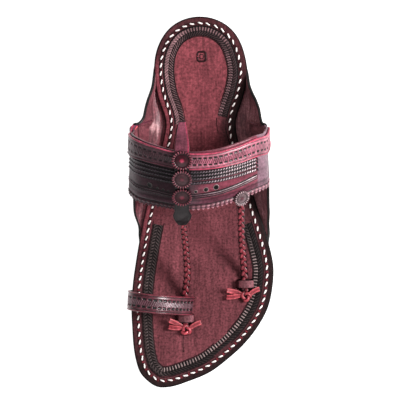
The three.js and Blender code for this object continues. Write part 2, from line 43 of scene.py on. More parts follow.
# Across is positive on the big toe's side, along runs from the heel end, z is up from the floor.
last = {"length": 275.0, "ballWidth": 105.0}
soleStack = {
    "heelLift": 3.8, "breastFoot": 70.6, "breastHead": 77.3, "liftInset": 0.6, "toeSpring": 4.0,
    "outsoleWall": 6.3, "middleWall": 2.0, "insoleWall": 2.0,
}
rimTable = {
    "at": [0, 0.02, 0.053, 0.1, 0.155, 0.215, 0.285, 0.35, 0.42, 0.5,
           0.58, 0.665, 0.725, 0.785, 0.84, 0.885, 0.925, 0.96, 0.986, 1],
    "inner": [0, 0.176, 0.26, 0.312, 0.323, 0.299, 0.244, 0.272, 0.32, 0.372,
              0.416, 0.454, 0.475, 0.484, 0.478, 0.47, 0.453, 0.421, 0.357, 0.266],
    "outer": [0, 0.176, 0.262, 0.314, 0.334, 0.306, 0.252, 0.28, 0.332, 0.393,
              0.461, 0.516, 0.513, 0.479, 0.401, 0.306, 0.19, 0.064, -0.1, -0.266],
}
profileTable = {
    "at": [0, 0.1, 0.2, 0.28, 0.36, 0.5, 0.63, 0.7, 0.77, 0.84, 0.9, 1],
    "heel": [1, 1, 0.95, 0.74, 0.47, 0.16, 0, 0, 0, 0, 0, 0],
    "toe": [0, 0, 0, 0, 0, 0, 0, 0, 0, 0.2, 0.5, 1],
    "body": [1, 1, 1.02, 1.1, 1.17, 1.2, 1.22, 1.22, 1.22, 1.12, 1, 0.9],
}


def rgb(red, green, blue):
    # a colour as it shows on a screen, turned to the linear one that Blender mixes
    parts = [c / 255 for c in (red, green, blue)]
    return np.array([c / 12.92 if c <= 0.04045 else ((c + 0.055) / 1.055) ** 2.4 for c in parts])


def smooth(value, low, high):
    t = np.clip((value - low) / (high - low), 0, 1)
    return t * t * (3 - 2 * t)


def mix(a, b, share):
    share = np.asarray(share, float)[..., None]
    return a * (1 - share) + b * share


def ripple(x, y, seed, count=7):
    # smooth irregular waves between about -1 and 1, the same each run
    draw = np.random.default_rng(seed)
    total = np.zeros(np.broadcast(x, y).shape)
    for k in range(count):
        turn, phase, size = draw.uniform(0, math.tau), draw.uniform(0, math.tau), 0.6 + 0.45 * k
        total = total + np.sin(size * (x * math.cos(turn) + y * math.sin(turn)) + phase) / (1 + 0.3 * k)
    return total / 2.4


def readTable(table, column, where, key="at"):
    keys, values = np.array(table[key], float), np.array(table[column], float)
    where = np.asarray(where, float)
    final = len(keys) - 1
    before, after = np.maximum(np.arange(final + 1) - 1, 0), np.minimum(np.arange(final + 1) + 1, final)
    slopes = (values[after] - values[before]) / (keys[after] - keys[before])
    i = np.clip(np.searchsorted(keys, where, side="left") - 1, 0, final - 1)
    span = keys[i + 1] - keys[i]
    t = np.clip((where - keys[i]) / span, 0, 1)
    rise = t * t * (3 - 2 * t)
    bend = t * (1 - t) ** 2 * span * slopes[i] + t * t * (t - 1) * span * slopes[i + 1]
    return values[i] + (values[i + 1] - values[i]) * rise + bend


def place(across, along, height):
    return np.stack(np.broadcast_arrays(across, along - last["length"] / 2, height), axis=-1).astype(float)


def turnOf(share):
    return np.arccos(1 - 2 * np.asarray(share, float)) / math.pi


def shareOf(turn):
    return (1 - np.cos(turn * math.pi)) / 2


rimTable["turn"] = list(turnOf(rimTable["at"]))


def rim(side, turn, inset=0.0):
    # a point of the sole's outline and the way out of it
    sign = 1 if side == "inner" else -1
    turn = np.asarray(turn, float)

    def reach(t):
        across = sign * last["ballWidth"] * readTable(rimTable, side, t, "turn")
        return np.stack([across, last["length"] * shareOf(t)], axis=-1)

    run = reach(np.minimum(turn + 1e-3, 1)) - reach(np.maximum(turn - 1e-3, 0))
    out = np.stack([run[..., 1], -run[..., 0]], axis=-1) * sign
    out = out / np.linalg.norm(out, axis=-1, keepdims=True)
    return reach(turn) - out * np.asarray(inset, float)[..., None], out


def underside(along):
    at = along / last["length"]
    lift = (soleStack["heelLift"] + fit) * readTable(profileTable, "heel", at)
    return np.maximum(0, lift + soleStack["toeSpring"] * readTable(profileTable, "toe", at))


def outsoleTop(along):
    body = readTable(profileTable, "body", along / last["length"])
    return underside(along) + soleStack["outsoleWall"] * body


def insoleLow(along):
    return outsoleTop(along) + fit + soleStack["middleWall"] + fit


def footbed(along):
    return insoleLow(along) + soleStack["insoleWall"]


def lifted(surface, u, v, lift):
    step = 2e-3
    point, side = surface
    acrossRun = point(u + step, v) - point(u - step, v)
    alongRun = point(u, v + step) - point(u, v - step)
    normal = np.cross(acrossRun, alongRun)
    normal = normal / np.maximum(np.linalg.norm(normal, axis=-1, keepdims=True), 1e-9) * side
    return point(u, v) + normal * np.asarray(lift, float)[..., None]


def spotOn(surface, u, v, lift):
    return lifted(surface, np.array([u]), np.array([v]), np.array([lift]))[0]


def layOn(spot, lift):
    # across and along of a grid, laid on the insole's top
    return place(spot[..., 0], spot[..., 1], footbed(spot[..., 1]) + lift)


def arcOf(points):
    # how far each point of a line lies from its start
    return np.concatenate([[0], np.cumsum(np.linalg.norm(np.diff(points, axis=0), axis=1))])


def hump(value, at, wide):
    return np.exp(-((value - at) / wide) ** 2)


def spline(points, share):
    # the curve through control points, one set for all shares or one set for each
    points, share = np.asarray(points, float), np.asarray(share, float)
    count = points.shape[-2]
    at = np.clip(share, 0, 1) * (count - 1)
    i = np.minimum(np.floor(at).astype(int), count - 2)
    w = (at - i)[..., None]
    first = 2 * points[..., :1, :] - points[..., 1:2, :]
    final = 2 * points[..., -1:, :] - points[..., -2:-1, :]
    held = np.concatenate([first, points, final], axis=-2)
    if points.ndim == 2:
        p = [held[i + k] for k in range(4)]
    else:
        p = [np.take_along_axis(held, (i + k)[..., None, None], axis=-2)[..., 0, :] for k in range(4)]
    cubic = (3 * p[1] - p[0] - 3 * p[2] + p[3]) * w**3
    return 0.5 * (2 * p[1] + (p[2] - p[0]) * w + (2 * p[0] - 5 * p[1] + 4 * p[2] - p[3]) * w**2 + cubic)


# Mesh making: a part is points, faces and a colour for each point, and parts are joined into one piece.
def outward(points, faces):
    fan = [(f[0], f[k], f[k + 1]) for f in faces for k in range(1, len(f) - 1)]
    tri = points[np.array(fan)]
    volume = np.einsum("ij,ij->i", tri[:, 0], np.cross(tri[:, 1], tri[:, 2])).sum()
    return [list(reversed(f)) for f in faces] if volume < 0 else faces


def gridFaces(rows, columns, start=0, flip=False):
    r, c = np.meshgrid(np.arange(rows - 1), np.arange(columns - 1), indexing="ij")
    a = (r * columns + c + start).ravel()
    corners = [a, a + columns, a + columns + 1, a + 1]
    return np.stack(corners[::-1] if flip else corners, axis=1).tolist()


def ringFaces(rings, count):
    # a closed form of rings of points, with a cap at both ends
    faces = []
    for r in range(rings - 1):
        for k in range(count):
            a, b = r * count + k, r * count + (k + 1) % count
            faces.append([a, b, b + count, a + count])
    faces.append(list(range(count - 1, -1, -1)))
    faces.append([(rings - 1) * count + k for k in range(count)])
    return faces


def skinPart(top, bottom, tint):
    # a closed sheet between two grids; tint is one colour or a grid of them
    rows, columns = top.shape[:2]
    under = rows * columns
    faces = gridFaces(rows, columns) + gridFaces(rows, columns, under, True)
    edge = [c for c in range(columns - 1)] + [r * columns + columns - 1 for r in range(rows - 1)]
    edge += [(rows - 1) * columns + c for c in range(columns - 1, 0, -1)]
    edge += [r * columns for r in range(rows - 1, 0, -1)]
    for a, b in zip(edge, edge[1:] + edge[:1]):
        faces.append([a, b, under + b, under + a])
    points = np.concatenate([top.reshape(-1, 3), bottom.reshape(-1, 3)])
    colours = np.tile(np.broadcast_to(tint, top.shape).reshape(-1, 3), (2, 1))
    return points, outward(points, faces), colours


def tubePart(centres, normals, wide, tall, sides=8, tint=(0.1, 0.1, 0.1), twist=None):
    # a closed tube; wide and tall are half sizes, the same all along or one for each centre, and
    # twist swells each side
    centres = np.asarray(centres, float)
    count = len(centres)
    run = np.gradient(centres, axis=0)
    run = run / np.linalg.norm(run, axis=1, keepdims=True)
    up = normals - (normals * run).sum(1, keepdims=True) * run
    up = up / np.linalg.norm(up, axis=1, keepdims=True)
    across = np.cross(run, up)
    turn = np.arange(sides) / sides * math.tau
    swell = 1 if twist is None else twist[..., None]
    wide = np.broadcast_to(wide, (count,))[:, None, None]
    tall = np.broadcast_to(tall, (count,))[:, None, None]
    ring = across[:, None] * np.cos(turn)[None, :, None] * wide
    ring = ring + up[:, None] * np.sin(turn)[None, :, None] * tall
    points = (centres[:, None] + ring * swell).reshape(-1, 3)
    if np.ndim(tint) == 2:
        tint = np.asarray(tint)[:, None]
    colours = np.broadcast_to(tint, (count, sides, 3)).reshape(-1, 3)
    return points, outward(points, ringFaces(count, sides)), colours


def edgeSteps(low, high, count, size, rounding):
    # steps between two ends with close ones at both, and how far each lies from the nearer end
    near = np.array([0, 0.12, 0.4, 1.0]) * rounding / size * (high - low)
    inner = np.linspace(low + near[-1], high - near[-1], count)
    steps = np.concatenate([low + near[:-1], inner, high - near[:-1][::-1]])
    return steps, np.minimum(steps - low, high - steps) / (high - low) * size


def edgeDrop(distance, rounding):
    reach = np.clip(rounding - distance, 0, rounding)
    return rounding - np.sqrt(np.maximum(rounding**2 - reach**2, 0))


def makePiece(name, parts, material, node=None, smoothed=True):
    points, faces, colours, slots, start = [], [], [], [], 0
    materials = material if isinstance(material, list) else [material]
    for part in parts:
        points.append(part[0])
        faces.extend([[i + start for i in f] for f in part[1]])
        colours.append(part[2])
        slots.extend([part[3] if len(part) > 3 else 0] * len(part[1]))
        start += len(part[0])
    mesh = bpy.data.meshes.new(name)
    mesh.from_pydata((np.concatenate(points) * mm).tolist(), [], faces)
    tint = mesh.color_attributes.new(name="tint", type="FLOAT_COLOR", domain="POINT")
    rgba = np.concatenate([np.clip(np.concatenate(colours), 0, 1), np.ones((start, 1))], axis=1)
    tint.data.foreach_set("color", rgba.astype(np.float32).ravel())
    for each in materials:
        mesh.materials.append(each)
    mesh.polygons.foreach_set("material_index", slots)
    mesh.polygons.foreach_set("use_smooth", [smoothed] * len(faces))
    mesh.update()
    piece = bpy.data.objects.new(name, mesh)
    bpy.context.scene.collection.objects.link(piece)
    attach(piece, "root")
    if node:
        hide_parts(node)
    return piece


# Leather finishes, each from one dictionary: the colour comes from the piece, and the rest from here.
finishes = {
    "soleEdge": {"shine": 0.3, "rough": 0.6, "coat": 0.03, "grain": 900, "grainDepth": 0.05,
                 "streak": (260, 14, 700), "streakShare": 0.7, "blotch": 30, "blotchShare": 0.3,
                 "fleck": 0.15},
    "footbed": {"shine": 0.22, "rough": 0.66, "coat": 0.0, "grain": 1500, "grainDepth": 0.04,
                "streak": (620, 60, 200), "streakShare": 0.3, "blotch": 42, "blotchShare": 0.2,
                "fleck": 0.42},
    "stamped": {"shine": 0.2, "rough": 0.6, "coat": 0.0, "grain": 1500, "grainDepth": 0.03,
                "streak": (300, 300, 300), "streakShare": 0.25, "blotch": 60, "blotchShare": 0.3,
                "fleck": 0.3},
    "bandHide": {"shine": 0.3, "rough": 0.36, "coat": 0.08, "grain": 1300, "grainDepth": 0.04,
                 "streak": (90, 420, 160), "streakShare": 0.3, "blotch": 55, "blotchShare": 0.3,
                 "fleck": 0.3},
    "flapHide": {"shine": 0.4, "rough": 0.5, "coat": 0.06, "grain": 1000, "grainDepth": 0.08,
                 "streak": (620, 34, 420), "streakShare": 0.55, "blotch": 48, "blotchShare": 0.35,
                 "fleck": 0.35},
    "glazed": {"shine": 0.45, "rough": 0.36, "coat": 0.14, "grain": 1500, "grainDepth": 0.03,
               "streak": (200, 200, 200), "streakShare": 0.3, "blotch": 70, "blotchShare": 0.35,
               "fleck": 0.3},
    "braid": {"shine": 0.4, "rough": 0.45, "coat": 0.08, "grain": 1800, "grainDepth": 0.04,
              "streak": (500, 60, 500), "streakShare": 0.3, "blotch": 90, "blotchShare": 0.3,
              "fleck": 0.25},
    "thread": {"shine": 0.3, "rough": 0.75, "coat": 0.0, "grain": 3200, "grainDepth": 0.06,
               "streak": (900, 900, 900), "streakShare": 0.12, "blotch": 120, "blotchShare": 0.1,
               "fleck": 0.06},
}


allHides = {"fleckScale": 640, "coatRough": 0.22, "grainStrength": 0.7, "streakStrength": 0.5}


def leather(name):
    look = finishes[name]
    material = bpy.data.materials.new(name)
    material.use_nodes = True
    nodes, links = material.node_tree.nodes, material.node_tree.links
    shader = nodes["Principled BSDF"]
    objectSpace = nodes.new("ShaderNodeTexCoord").outputs["Object"]

    def noiseAt(scale, detail, stretch=(1, 1, 1)):
        mapping = nodes.new("ShaderNodeMapping")
        mapping.inputs["Scale"].default_value = stretch
        links.new(objectSpace, mapping.inputs["Vector"])
        noise = nodes.new("ShaderNodeTexNoise")
        noise.inputs["Scale"].default_value = scale
        noise.inputs["Detail"].default_value = detail
        noise.inputs["Roughness"].default_value = 0.6
        links.new(mapping.outputs["Vector"], noise.inputs["Vector"])
        return noise.outputs["Fac"]

    def ranged(value, low, high, fromLow=0.3, fromHigh=0.7):
        node = nodes.new("ShaderNodeMapRange")
        node.inputs["From Min"].default_value = fromLow
        node.inputs["From Max"].default_value = fromHigh
        node.inputs["To Min"].default_value = low
        node.inputs["To Max"].default_value = high
        links.new(value, node.inputs["Value"])
        return node.outputs["Result"]

    def times(colour, factor):
        node = nodes.new("ShaderNodeMix")
        node.data_type = "RGBA"
        node.blend_type = "MULTIPLY"
        node.inputs[0].default_value = 1
        links.new(colour, node.inputs[6])
        links.new(factor, node.inputs[7])
        return node.outputs[2]

    tint = nodes.new("ShaderNodeAttribute")
    tint.attribute_name = "tint"
    streak = noiseAt(1.0, 5, look["streak"])
    blotch = noiseAt(look["blotch"], 3)
    fleck = noiseAt(allHides["fleckScale"], 2)
    colour = tint.outputs["Color"]
    for noise, key in ((streak, "streakShare"), (blotch, "blotchShare"), (fleck, "fleck")):
        colour = times(colour, ranged(noise, 1 - look[key], 1 + look[key]))
    links.new(colour, shader.inputs["Base Color"])
    links.new(ranged(blotch, look["rough"] * 1.2, look["rough"] * 0.8), shader.inputs["Roughness"])
    shader.inputs["Coat Weight"].default_value = look["coat"]
    shader.inputs["Coat Roughness"].default_value = allHides["coatRough"]
    shader.inputs["Specular IOR Level"].default_value = look["shine"]

    grain = nodes.new("ShaderNodeTexVoronoi")
    grain.feature = "SMOOTH_F1"
    grain.inputs["Scale"].default_value = look["grain"]
    links.new(objectSpace, grain.inputs["Vector"])
    fine = nodes.new("ShaderNodeBump")
    fine.inputs["Strength"].default_value = allHides["grainStrength"]
    fine.inputs["Distance"].default_value = look["grainDepth"] * mm
    links.new(grain.outputs["Distance"], fine.inputs["Height"])
    coarse = nodes.new("ShaderNodeBump")
    coarse.inputs["Strength"].default_value = allHides["streakStrength"]
    coarse.inputs["Distance"].default_value = look["grainDepth"] * 2 * mm
    links.new(streak, coarse.inputs["Height"])
    links.new(fine.outputs["Normal"], coarse.inputs["Normal"])
    links.new(coarse.outputs["Normal"], shader.inputs["Normal"])
    return material


hides = {name: leather(name) for name in finishes}
print("finishes made:", ", ".join(sorted(hides)))

paint = {
    "soleEdge": rgb(82, 58, 59), "soleRim": rgb(20, 13, 14), "soleBottom": rgb(104, 72, 58),
    "footbed": rgb(112, 62, 68), "footbedHeel": rgb(135, 70, 77), "footbedDark": rgb(82, 40, 46),
    "margin": rgb(76, 42, 46), "rimDark": rgb(42, 25, 26), "marginRose": rgb(122, 62, 70),
    "stampDark": rgb(26, 18, 19), "stampLight": rgb(144, 124, 123), "stampPink": rgb(164, 126, 130),
    "ink": rgb(6, 4, 5), "thread": rgb(246, 240, 236), "gap": rgb(74, 27, 35), "gapToe": rgb(142, 54, 66),
    "band": rgb(112, 58, 70), "bandDark": rgb(56, 33, 42), "bandEnd": rgb(120, 90, 102),
    "bandRoot": rgb(104, 44, 72), "bandGlint": rgb(214, 190, 196), "toothTip": rgb(170, 122, 130),
    "ropeHighlight": rgb(92, 80, 94), "piping": rgb(172, 62, 88), "strap": rgb(150, 89, 103),
    "loop": rgb(88, 43, 53), "loopPiping": rgb(108, 44, 56), "loopRib": rgb(116, 84, 92),
    "flapOut": rgb(152, 66, 82), "flapIn": rgb(117, 69, 76), "flapInDark": rgb(62, 43, 46),
    "flapShade": rgb(146, 100, 106), "flapOutWearAndHighlight": rgb(206, 150, 158), "flapInWearAndHighlight": rgb(206, 160, 162),
    "corner": rgb(214, 104, 104), "bridgeLit": rgb(132, 88, 94), "threadEnd": rgb(206, 140, 146),
    "rosette": rgb(54, 20, 28), "rosetteTick": rgb(134, 66, 80), "rosetteGrey": rgb(84, 70, 73),
    "tickGrey": rgb(184, 164, 167), "rosetteRay": rgb(150, 134, 136), "strip": rgb(24, 14, 17),
    "stripTail": rgb(117, 65, 79), "braid": rgb(132, 52, 62), "braidDark": rgb(14, 5, 7),
    "knot": rgb(158, 66, 75), "knotEdge": rgb(214, 104, 112),
}


# Camera straight above with the toes down, at the photo's scale.
view = {"width": 0.2972, "distance": 6.0, "standY": -0.0015, "sensor": 36}
camera = bpy.data.objects.new("camera", bpy.data.cameras.new("camera"))
camera.data.sensor_width = view["sensor"]
camera.data.lens = view["sensor"] * view["distance"] / view["width"]
camera.data.clip_end = 100
camera.location = (0, view["standY"], view["distance"])
camera.rotation_euler = (0, 0, math.pi)
bpy.context.scene.collection.objects.link(camera)
bpy.context.scene.camera = camera


# Sole: heel lift, outsole, middle layer and insole.
def soleForm(turns, levels, tints, spotOf):
    # rings of points round each station: up one side, over the top, down the other, back below
    rings = []
    for turn in turns:
        sides = [[spotOf(side, turn, level, inset) for level, inset in levels] for side in ("outer", "inner")]
        rings.append(sides[0] + sides[1][::-1])
    points = np.array(rings).reshape(-1, 3)
    colours = np.tile(np.array(tints + tints[::-1]), (len(rings), 1))
    return points, outward(points, ringFaces(len(rings), 2 * len(levels))), colours


# Levels: share of the layer's height, and how far in from the rim its side lies there.
solePiece = {
    "ends": (0.006, 0.994), "stations": 180, "liftStations": 80,
    "levels": [(0, 1.6), (0, 0.9), (0.06, 0.35), (0.16, 0.08), (0.4, 0), (0.7, 0), (0.94, 0),
               (1, 0.12), (1, 1.6)],
    "tints": [paint["soleBottom"]] + [paint["soleRim"]] * 2 + [paint["soleEdge"]] * 4
             + [paint["soleRim"]] * 2,
    "liftLevels": [(0, 1.4), (0, 0.7), (0.2, 0.15), (0.5, 0), (0.88, 0), (1, 0.15), (1, 1.4)],
    "liftTints": [paint["soleBottom"]] + [paint["soleRim"]] * 2 + [paint["soleEdge"]] * 2
                 + [paint["soleRim"]] * 2,
    "middleLevels": [(0, 0.3), (0.1, 0.05), (0.9, 0.05), (1, 0.3)], "middleInset": 0.25, "rootRoom": 1.5,
}
wholeSole = np.linspace(*solePiece["ends"], solePiece["stations"])


def outsoleSpot(side, turn, level, inset):
    (x, along), _ = rim(side, turn, inset)
    return place(x, along, underside(along) + (outsoleTop(along) - underside(along)) * level)


def liftSpot(side, turn, level, inset):
    (x, y), _ = rim(side, turn, soleStack["liftInset"] + inset)
    breast = soleStack["breastFoot"] + (soleStack["breastHead"] - soleStack["breastFoot"]) * level
    along = y / soleStack["breastHead"] * breast
    return place(x, along, level * (underside(along) - fit))


outsoleForm = soleForm(wholeSole, solePiece["levels"], solePiece["tints"], outsoleSpot)
makePiece("outsole", [outsoleForm], hides["soleEdge"], "outsole")
liftEnd = turnOf(soleStack["breastHead"] / last["length"])
heelLift = soleForm(np.linspace(solePiece["ends"][0], liftEnd, solePiece["liftStations"]),
                    solePiece["liftLevels"], solePiece["liftTints"], liftSpot)
makePiece("heel_lift_leather", [heelLift], hides["soleEdge"], "heel_lift")

# Flaps: measured from the rim of the sole and from the seam that they come out of.
flap = {
    "from": 0.115, "to": 0.62, "wall": 2.0, "height": 26.0, "flare": 24.0, "root": 14.0, "bend": 0.62,
    "rearTuck": 2.7, "frontTuck": 1.6, "length": 139, "depth": 32, "rounding": 0.7,
}
flapTable = {
    "at": [0.115, 0.149, 0.181, 0.213, 0.235, 0.257, 0.281, 0.308,
           0.362, 0.416, 0.446, 0.473, 0.502, 0.538, 0.575, 0.62],
    "innerRise": [0.02, 0.1, 0.27, 0.48, 0.73, 0.9, 1, 0.99, 0.96, 0.9, 0.83, 0.6, 0.35, 0.11, 0.03, 0.02],
    "innerFlare": [0.06, 0.1, 0.18, 0.32, 0.48, 0.65, 0.88, 0.98, 0.81, 0.67, 0.58, 0.46, 0.41, 0.3,
                   0.13, 0.06],
    "outerRise": [0.02, 0.1, 0.3, 0.58, 0.8, 0.94, 1, 1, 0.98, 0.95, 0.92, 0.87, 0.7, 0.385, 0.12, 0.02],
    "outerFlare": [0.06, 0.1, 0.2, 0.4, 0.6, 0.74, 0.84, 0.94, 0.84, 0.67, 0.59, 0.5, 0.4, 0.28, 0.19, 0.06],
}
seamDepth = soleStack["insoleWall"] + fit + flap["wall"] / 2


def seam(along):
    return footbed(along) - seamDepth


def flapSurface(side):
    clear = flap["wall"] / 2 + fit

    def point(u, v):
        u, v = np.broadcast_arrays(np.asarray(u, float), np.asarray(v, float))
        base, out = rim(side, turnOf(u))
        flare = flap["flare"] * readTable(flapTable, side + "Flare", u) - clear
        rise = flap["height"] * readTable(flapTable, side + "Rise", u)
        bent = clear + flare * v * (2 * flap["bend"] * (1 - v) + v)
        tuck = flap["rearTuck"] * (1 - smooth(u, 0.18, 0.24)) + 0.6 * (1 - smooth(u, 0.12, 0.15))
        tuck = tuck + flap["frontTuck"] * smooth(u, 0.53, 0.57) + 1.2 * smooth(u, 0.585, 0.612)
        tuck = tuck * smooth(v, -0.1, 0.05)
        reach = np.where(v < 0, clear + v * (clear + flap["root"]), bent) - tuck
        spot = base + out * reach[..., None]
        return place(spot[..., 0], spot[..., 1], seam(spot[..., 1]) + np.where(v < 0, 0, rise * v * v))

    return point, (1 if side == "inner" else -1)


flaps = {side: flapSurface(side) for side in ("inner", "outer")}


def middleSpot(side, turn, level, inset):
    # the middle layer steps back where the flaps' roots lie in the seam
    share = shareOf(turn)
    inFlap = smooth(share, flap["from"] - 0.005, flap["from"] - 0.001)
    inFlap = inFlap * (1 - smooth(share, flap["to"] + 0.001, flap["to"] + 0.005))
    back = solePiece["middleInset"] + inset + inFlap * (flap["root"] + solePiece["rootRoom"])
    (x, along), _ = rim(side, turn, back)
    return place(x, along, outsoleTop(along) + fit + level * soleStack["middleWall"])


middleTints = [paint["soleRim"] * 1.6] * len(solePiece["middleLevels"])
middleSole = soleForm(wholeSole, solePiece["middleLevels"], middleTints, middleSpot)
makePiece("middle_sole_leather", [middleSole], hides["soleEdge"], "middle_sole")
print("sole layers made")

# Insole: its top has the slots beside the bridges, and darkens to the rim.
insole = {
    "rounding": 0.9, "edgeBand": 1.4, "edgeSteps": [0, 0.1, 0.35, 0.9], "across": 92, "along": 190,
    "slotDepth": 1.3, "slotFrom": 190, "slotTo": 232, "slotSteps": 50,
}
bridges = {"toe": (11.3, 224.0), "side": (-33.3, 198.4)}
bridge = {"wall": 1.6, "half": 6.6, "width": 6.0, "rounding": 0.5, "cordHeight": 3.3, "cordFlat": 0.72}
denseRim = np.concatenate([rim(side, np.linspace(0, 1, 500))[0] for side in ("inner", "outer")])


def rimDistance(points):
    flat = points.reshape(-1, 2)
    near = np.empty(len(flat))
    for start in range(0, len(flat), 4000):
        chunk = flat[start:start + 4000]
        near[start:start + 4000] = np.sqrt(((chunk[:, None] - denseRim[None]) ** 2).sum(2)).min(1)
    return near.reshape(points.shape[:-1])


def insoleTint(across, along, inside):
    heel = 1 - smooth(along, 60, 150)
    inner = mix(paint["footbed"], paint["footbedHeel"], heel)
    rub = 0.5 + 0.5 * ripple(across / 7, along / 30, 3)
    inner = mix(inner, paint["footbedDark"], 0.45 * rub)
    medial = smooth(across, -4, 6)
    waist = smooth(along, 22, 44) * (1 - smooth(along, 150, 185)) * medial
    rear = (1 - smooth(along, 26, 60)) * (1 - medial)
    edge = mix(paint["rimDark"], paint["margin"], medial * (1 - smooth(along, 236, 262)))
    edge = mix(edge, paint["marginRose"], np.clip(waist + 0.3 * rear, 0, 1))
    base = mix(mix(paint["margin"], paint["marginRose"], 0.5 * waist), inner, smooth(inside, 8.0, 15.5))
    base = mix(edge, base, smooth(inside, 3.4, 5.4))
    return mix(paint["ink"], base, smooth(inside, 0.3, 1.3))


def makeInsoleTop():
    slotRows = np.linspace(insole["slotFrom"], insole["slotTo"], insole["slotSteps"])
    slotTurns = turnOf(slotRows / last["length"])
    turns = np.unique(np.concatenate([np.linspace(*solePiece["ends"], insole["along"]), slotTurns]))
    left, right = rim("outer", turns)[0], rim("inner", turns)[0]
    width = np.linalg.norm(left - right, axis=1)
    edge, edgeBand = np.array(insole["edgeSteps"]) / width[:, None], insole["edgeBand"] / width[:, None]
    columns = edgeBand + np.linspace(0, 1, insole["across"]) * (1 - 2 * edgeBand)
    shares = np.concatenate([edge, columns, 1 - edge[:, ::-1]], axis=1)
    spot = left[:, None] * (1 - shares[..., None]) + right[:, None] * shares[..., None]
    inside = rimDistance(spot)
    across, along = spot[..., 0], spot[..., 1]
    soft = 0.12 * ripple(across / 9, along / 16, 5) * smooth(inside, 2, 10)
    slot = np.zeros(inside.shape)
    for x, y in bridges.values():
        wide = 1 - smooth(np.abs(across - x), bridge["half"] - 1.2, bridge["half"] - 0.1)
        slot = np.maximum(slot, wide * (1 - smooth(np.abs(along - y), 2.9, 3.9)))
    top = layOn(spot, soft - edgeDrop(inside, insole["rounding"]) - insole["slotDepth"] * slot)
    # Painted shade: the slots at the bridges are tinted ink.
    tint = mix(insoleTint(across, along, inside), paint["ink"], slot)
    return skinPart(top, place(across, along, insoleLow(along)), tint)


def bridgePart(x, y):
    rise = bridge["cordHeight"] * bridge["cordFlat"] + 2 * fit + bridge["wall"] / 2
    sunk = bridge["wall"] * 0.7

    def point(u, v):
        along = y + (v - 0.5) * bridge["width"]
        lift = (rise + sunk) * smooth(1 - np.abs(u), 0, 0.38) - sunk
        return place(x + u * bridge["half"], along, footbed(along) + lift)

    us = np.linspace(-1, 1, 49)
    vs, fromEdge = edgeSteps(0, 1, 9, bridge["width"], bridge["rounding"])
    uGrid, vGrid = np.meshgrid(us, vs, indexing="ij")
    thick = bridge["wall"] / 2 - edgeDrop(fromEdge, bridge["rounding"])
    litShare = smooth(-uGrid, -0.9, 0.7)  # painted light: lighter on the outer side, which faces the key light
    tint = mix(paint["footbedDark"] * 0.8, paint["bridgeLit"], litShare * 0.75)
    tint = mix(paint["ink"], tint, smooth(fromEdge, 0, 0.7))
    return skinPart(lifted((point, 1), uGrid, vGrid, thick), lifted((point, 1), uGrid, vGrid, -thick), tint)


insoleParts = [makeInsoleTop()] + [bridgePart(x, y) for x, y in bridges.values()]
makePiece("insole_leather", insoleParts, hides["footbed"], "insole")


# Border of the insole: paths run at an inset from the rim, from the outer side over heel or toe to the inner.
def rimPath(start, end, inset, spacing, soften=12):
    # q is 0 at the heel, grows along the inner side to 1 at the toes, and on to 2 down the outer side
    step = (end - start) / 1600
    q = np.arange(start - soften * step, end + (soften + 0.5) * step, step) % 2
    turn = np.clip(np.where(q > 1, 2 - q, q), 0.0015, 0.9985)
    path = np.where((q <= 1)[:, None], rim("inner", turn, inset)[0], rim("outer", turn, inset)[0])
    kernel = np.ones(soften * 2 + 1) / (soften * 2 + 1)
    path = np.stack([np.convolve(path[:, k], kernel, "valid") for k in range(2)], axis=1)
    length = arcOf(path)
    s = np.linspace(0, length[-1], int(length[-1] / spacing) + 1)
    return np.stack([np.interp(s, length, path[:, k]) for k in range(2)], axis=1), s


def sideways(path):
    run = np.gradient(path, axis=0)
    run = run / np.linalg.norm(run, axis=1, keepdims=True)
    return np.stack([run[:, 1], -run[:, 0]], axis=1)


stamp = {
    "heel": 10.7, "toe": 11.5, "width": 7.2, "heelPitch": 2.0, "toePitch": 2.3, "lift": 0.06, "relief": 0.45,
    "outerRow": (0.5, 3.4), "innerRow": (3.8, 6.8), "sunk": 0.4,
    "rows": [0, 0.12, 0.35, 0.8, 1.25, 1.7, 2.2, 2.7, 3.1, 3.4, 3.6,
             3.9, 4.3, 4.8, 5.3, 5.8, 6.3, 6.6, 6.9, 7.1, 7.2],
}


def stampRow(s, w, row, slant, pitch, ticks):
    # one row of pressed marks, slanted rope or upright ticks: 1 on a mark's crown, 0 in the groove
    inRow = smooth(w, row[0] - 0.15, row[0] + 0.2) * (1 - smooth(w, row[1] - 0.2, row[1] + 0.15))
    rope, tick = [smooth(0.5 + 0.5 * np.cos(math.tau * (s + lean * w) / pitch), 0.68 - sharp, 0.68 + sharp)
                  for lean, sharp in ((slant, 0.4), (0.0, 0.22))]
    return inRow, rope, rope * (1 - ticks) + tick * ticks


def stampPart(start, end, zone, ticksOf):
    path, s = rimPath(start, end, stamp[zone], 0.4)
    pitch = stamp[zone + "Pitch"]
    out = sideways(path)  # towards the rim
    w = np.array(stamp["rows"])[None, :]  # 0 at the outer edge
    spot = path[:, None] + out[:, None] * (stamp["width"] / 2 - w[..., None])
    outerTicks, innerTicks = [t[:, None] for t in ticksOf(path)]
    rowOut, rope, markOut = stampRow(s[:, None], w, stamp["outerRow"], 0.9, pitch, outerTicks)
    rowIn, _, markIn = stampRow(s[:, None], w, stamp["innerRow"], -0.9, pitch, innerTicks)
    height = stamp["relief"] * (rowOut * (0.25 + 0.75 * markOut) + rowIn * (0.25 + 0.75 * markIn))
    grooves = rowOut * (1 - markOut) * 0.9 + rowIn * (1 - markIn) * 0.95
    tint = mix(paint["stampDark"], paint["ink"], grooves)
    light = paint["stampPink"] if zone == "heel" else paint["stampLight"]
    rose = 0.85 * smooth(spot[..., 0], 6, 20) if zone == "heel" else 0.0
    tint = mix(tint, light, rowOut * (markOut * (0.12 + 0.66 * outerTicks) + rose * (0.25 + 0.75 * rope)))
    tint = mix(tint, light, rowIn * markIn * (0.1 + 0.86 * innerTicks + 0.45 * rose))
    ends = np.minimum(s, s[-1] - s)[:, None]
    top = layOn(spot, stamp["lift"] + height * smooth(ends, 0, 1.5))
    return skinPart(top, layOn(spot, -stamp["sunk"]), tint)


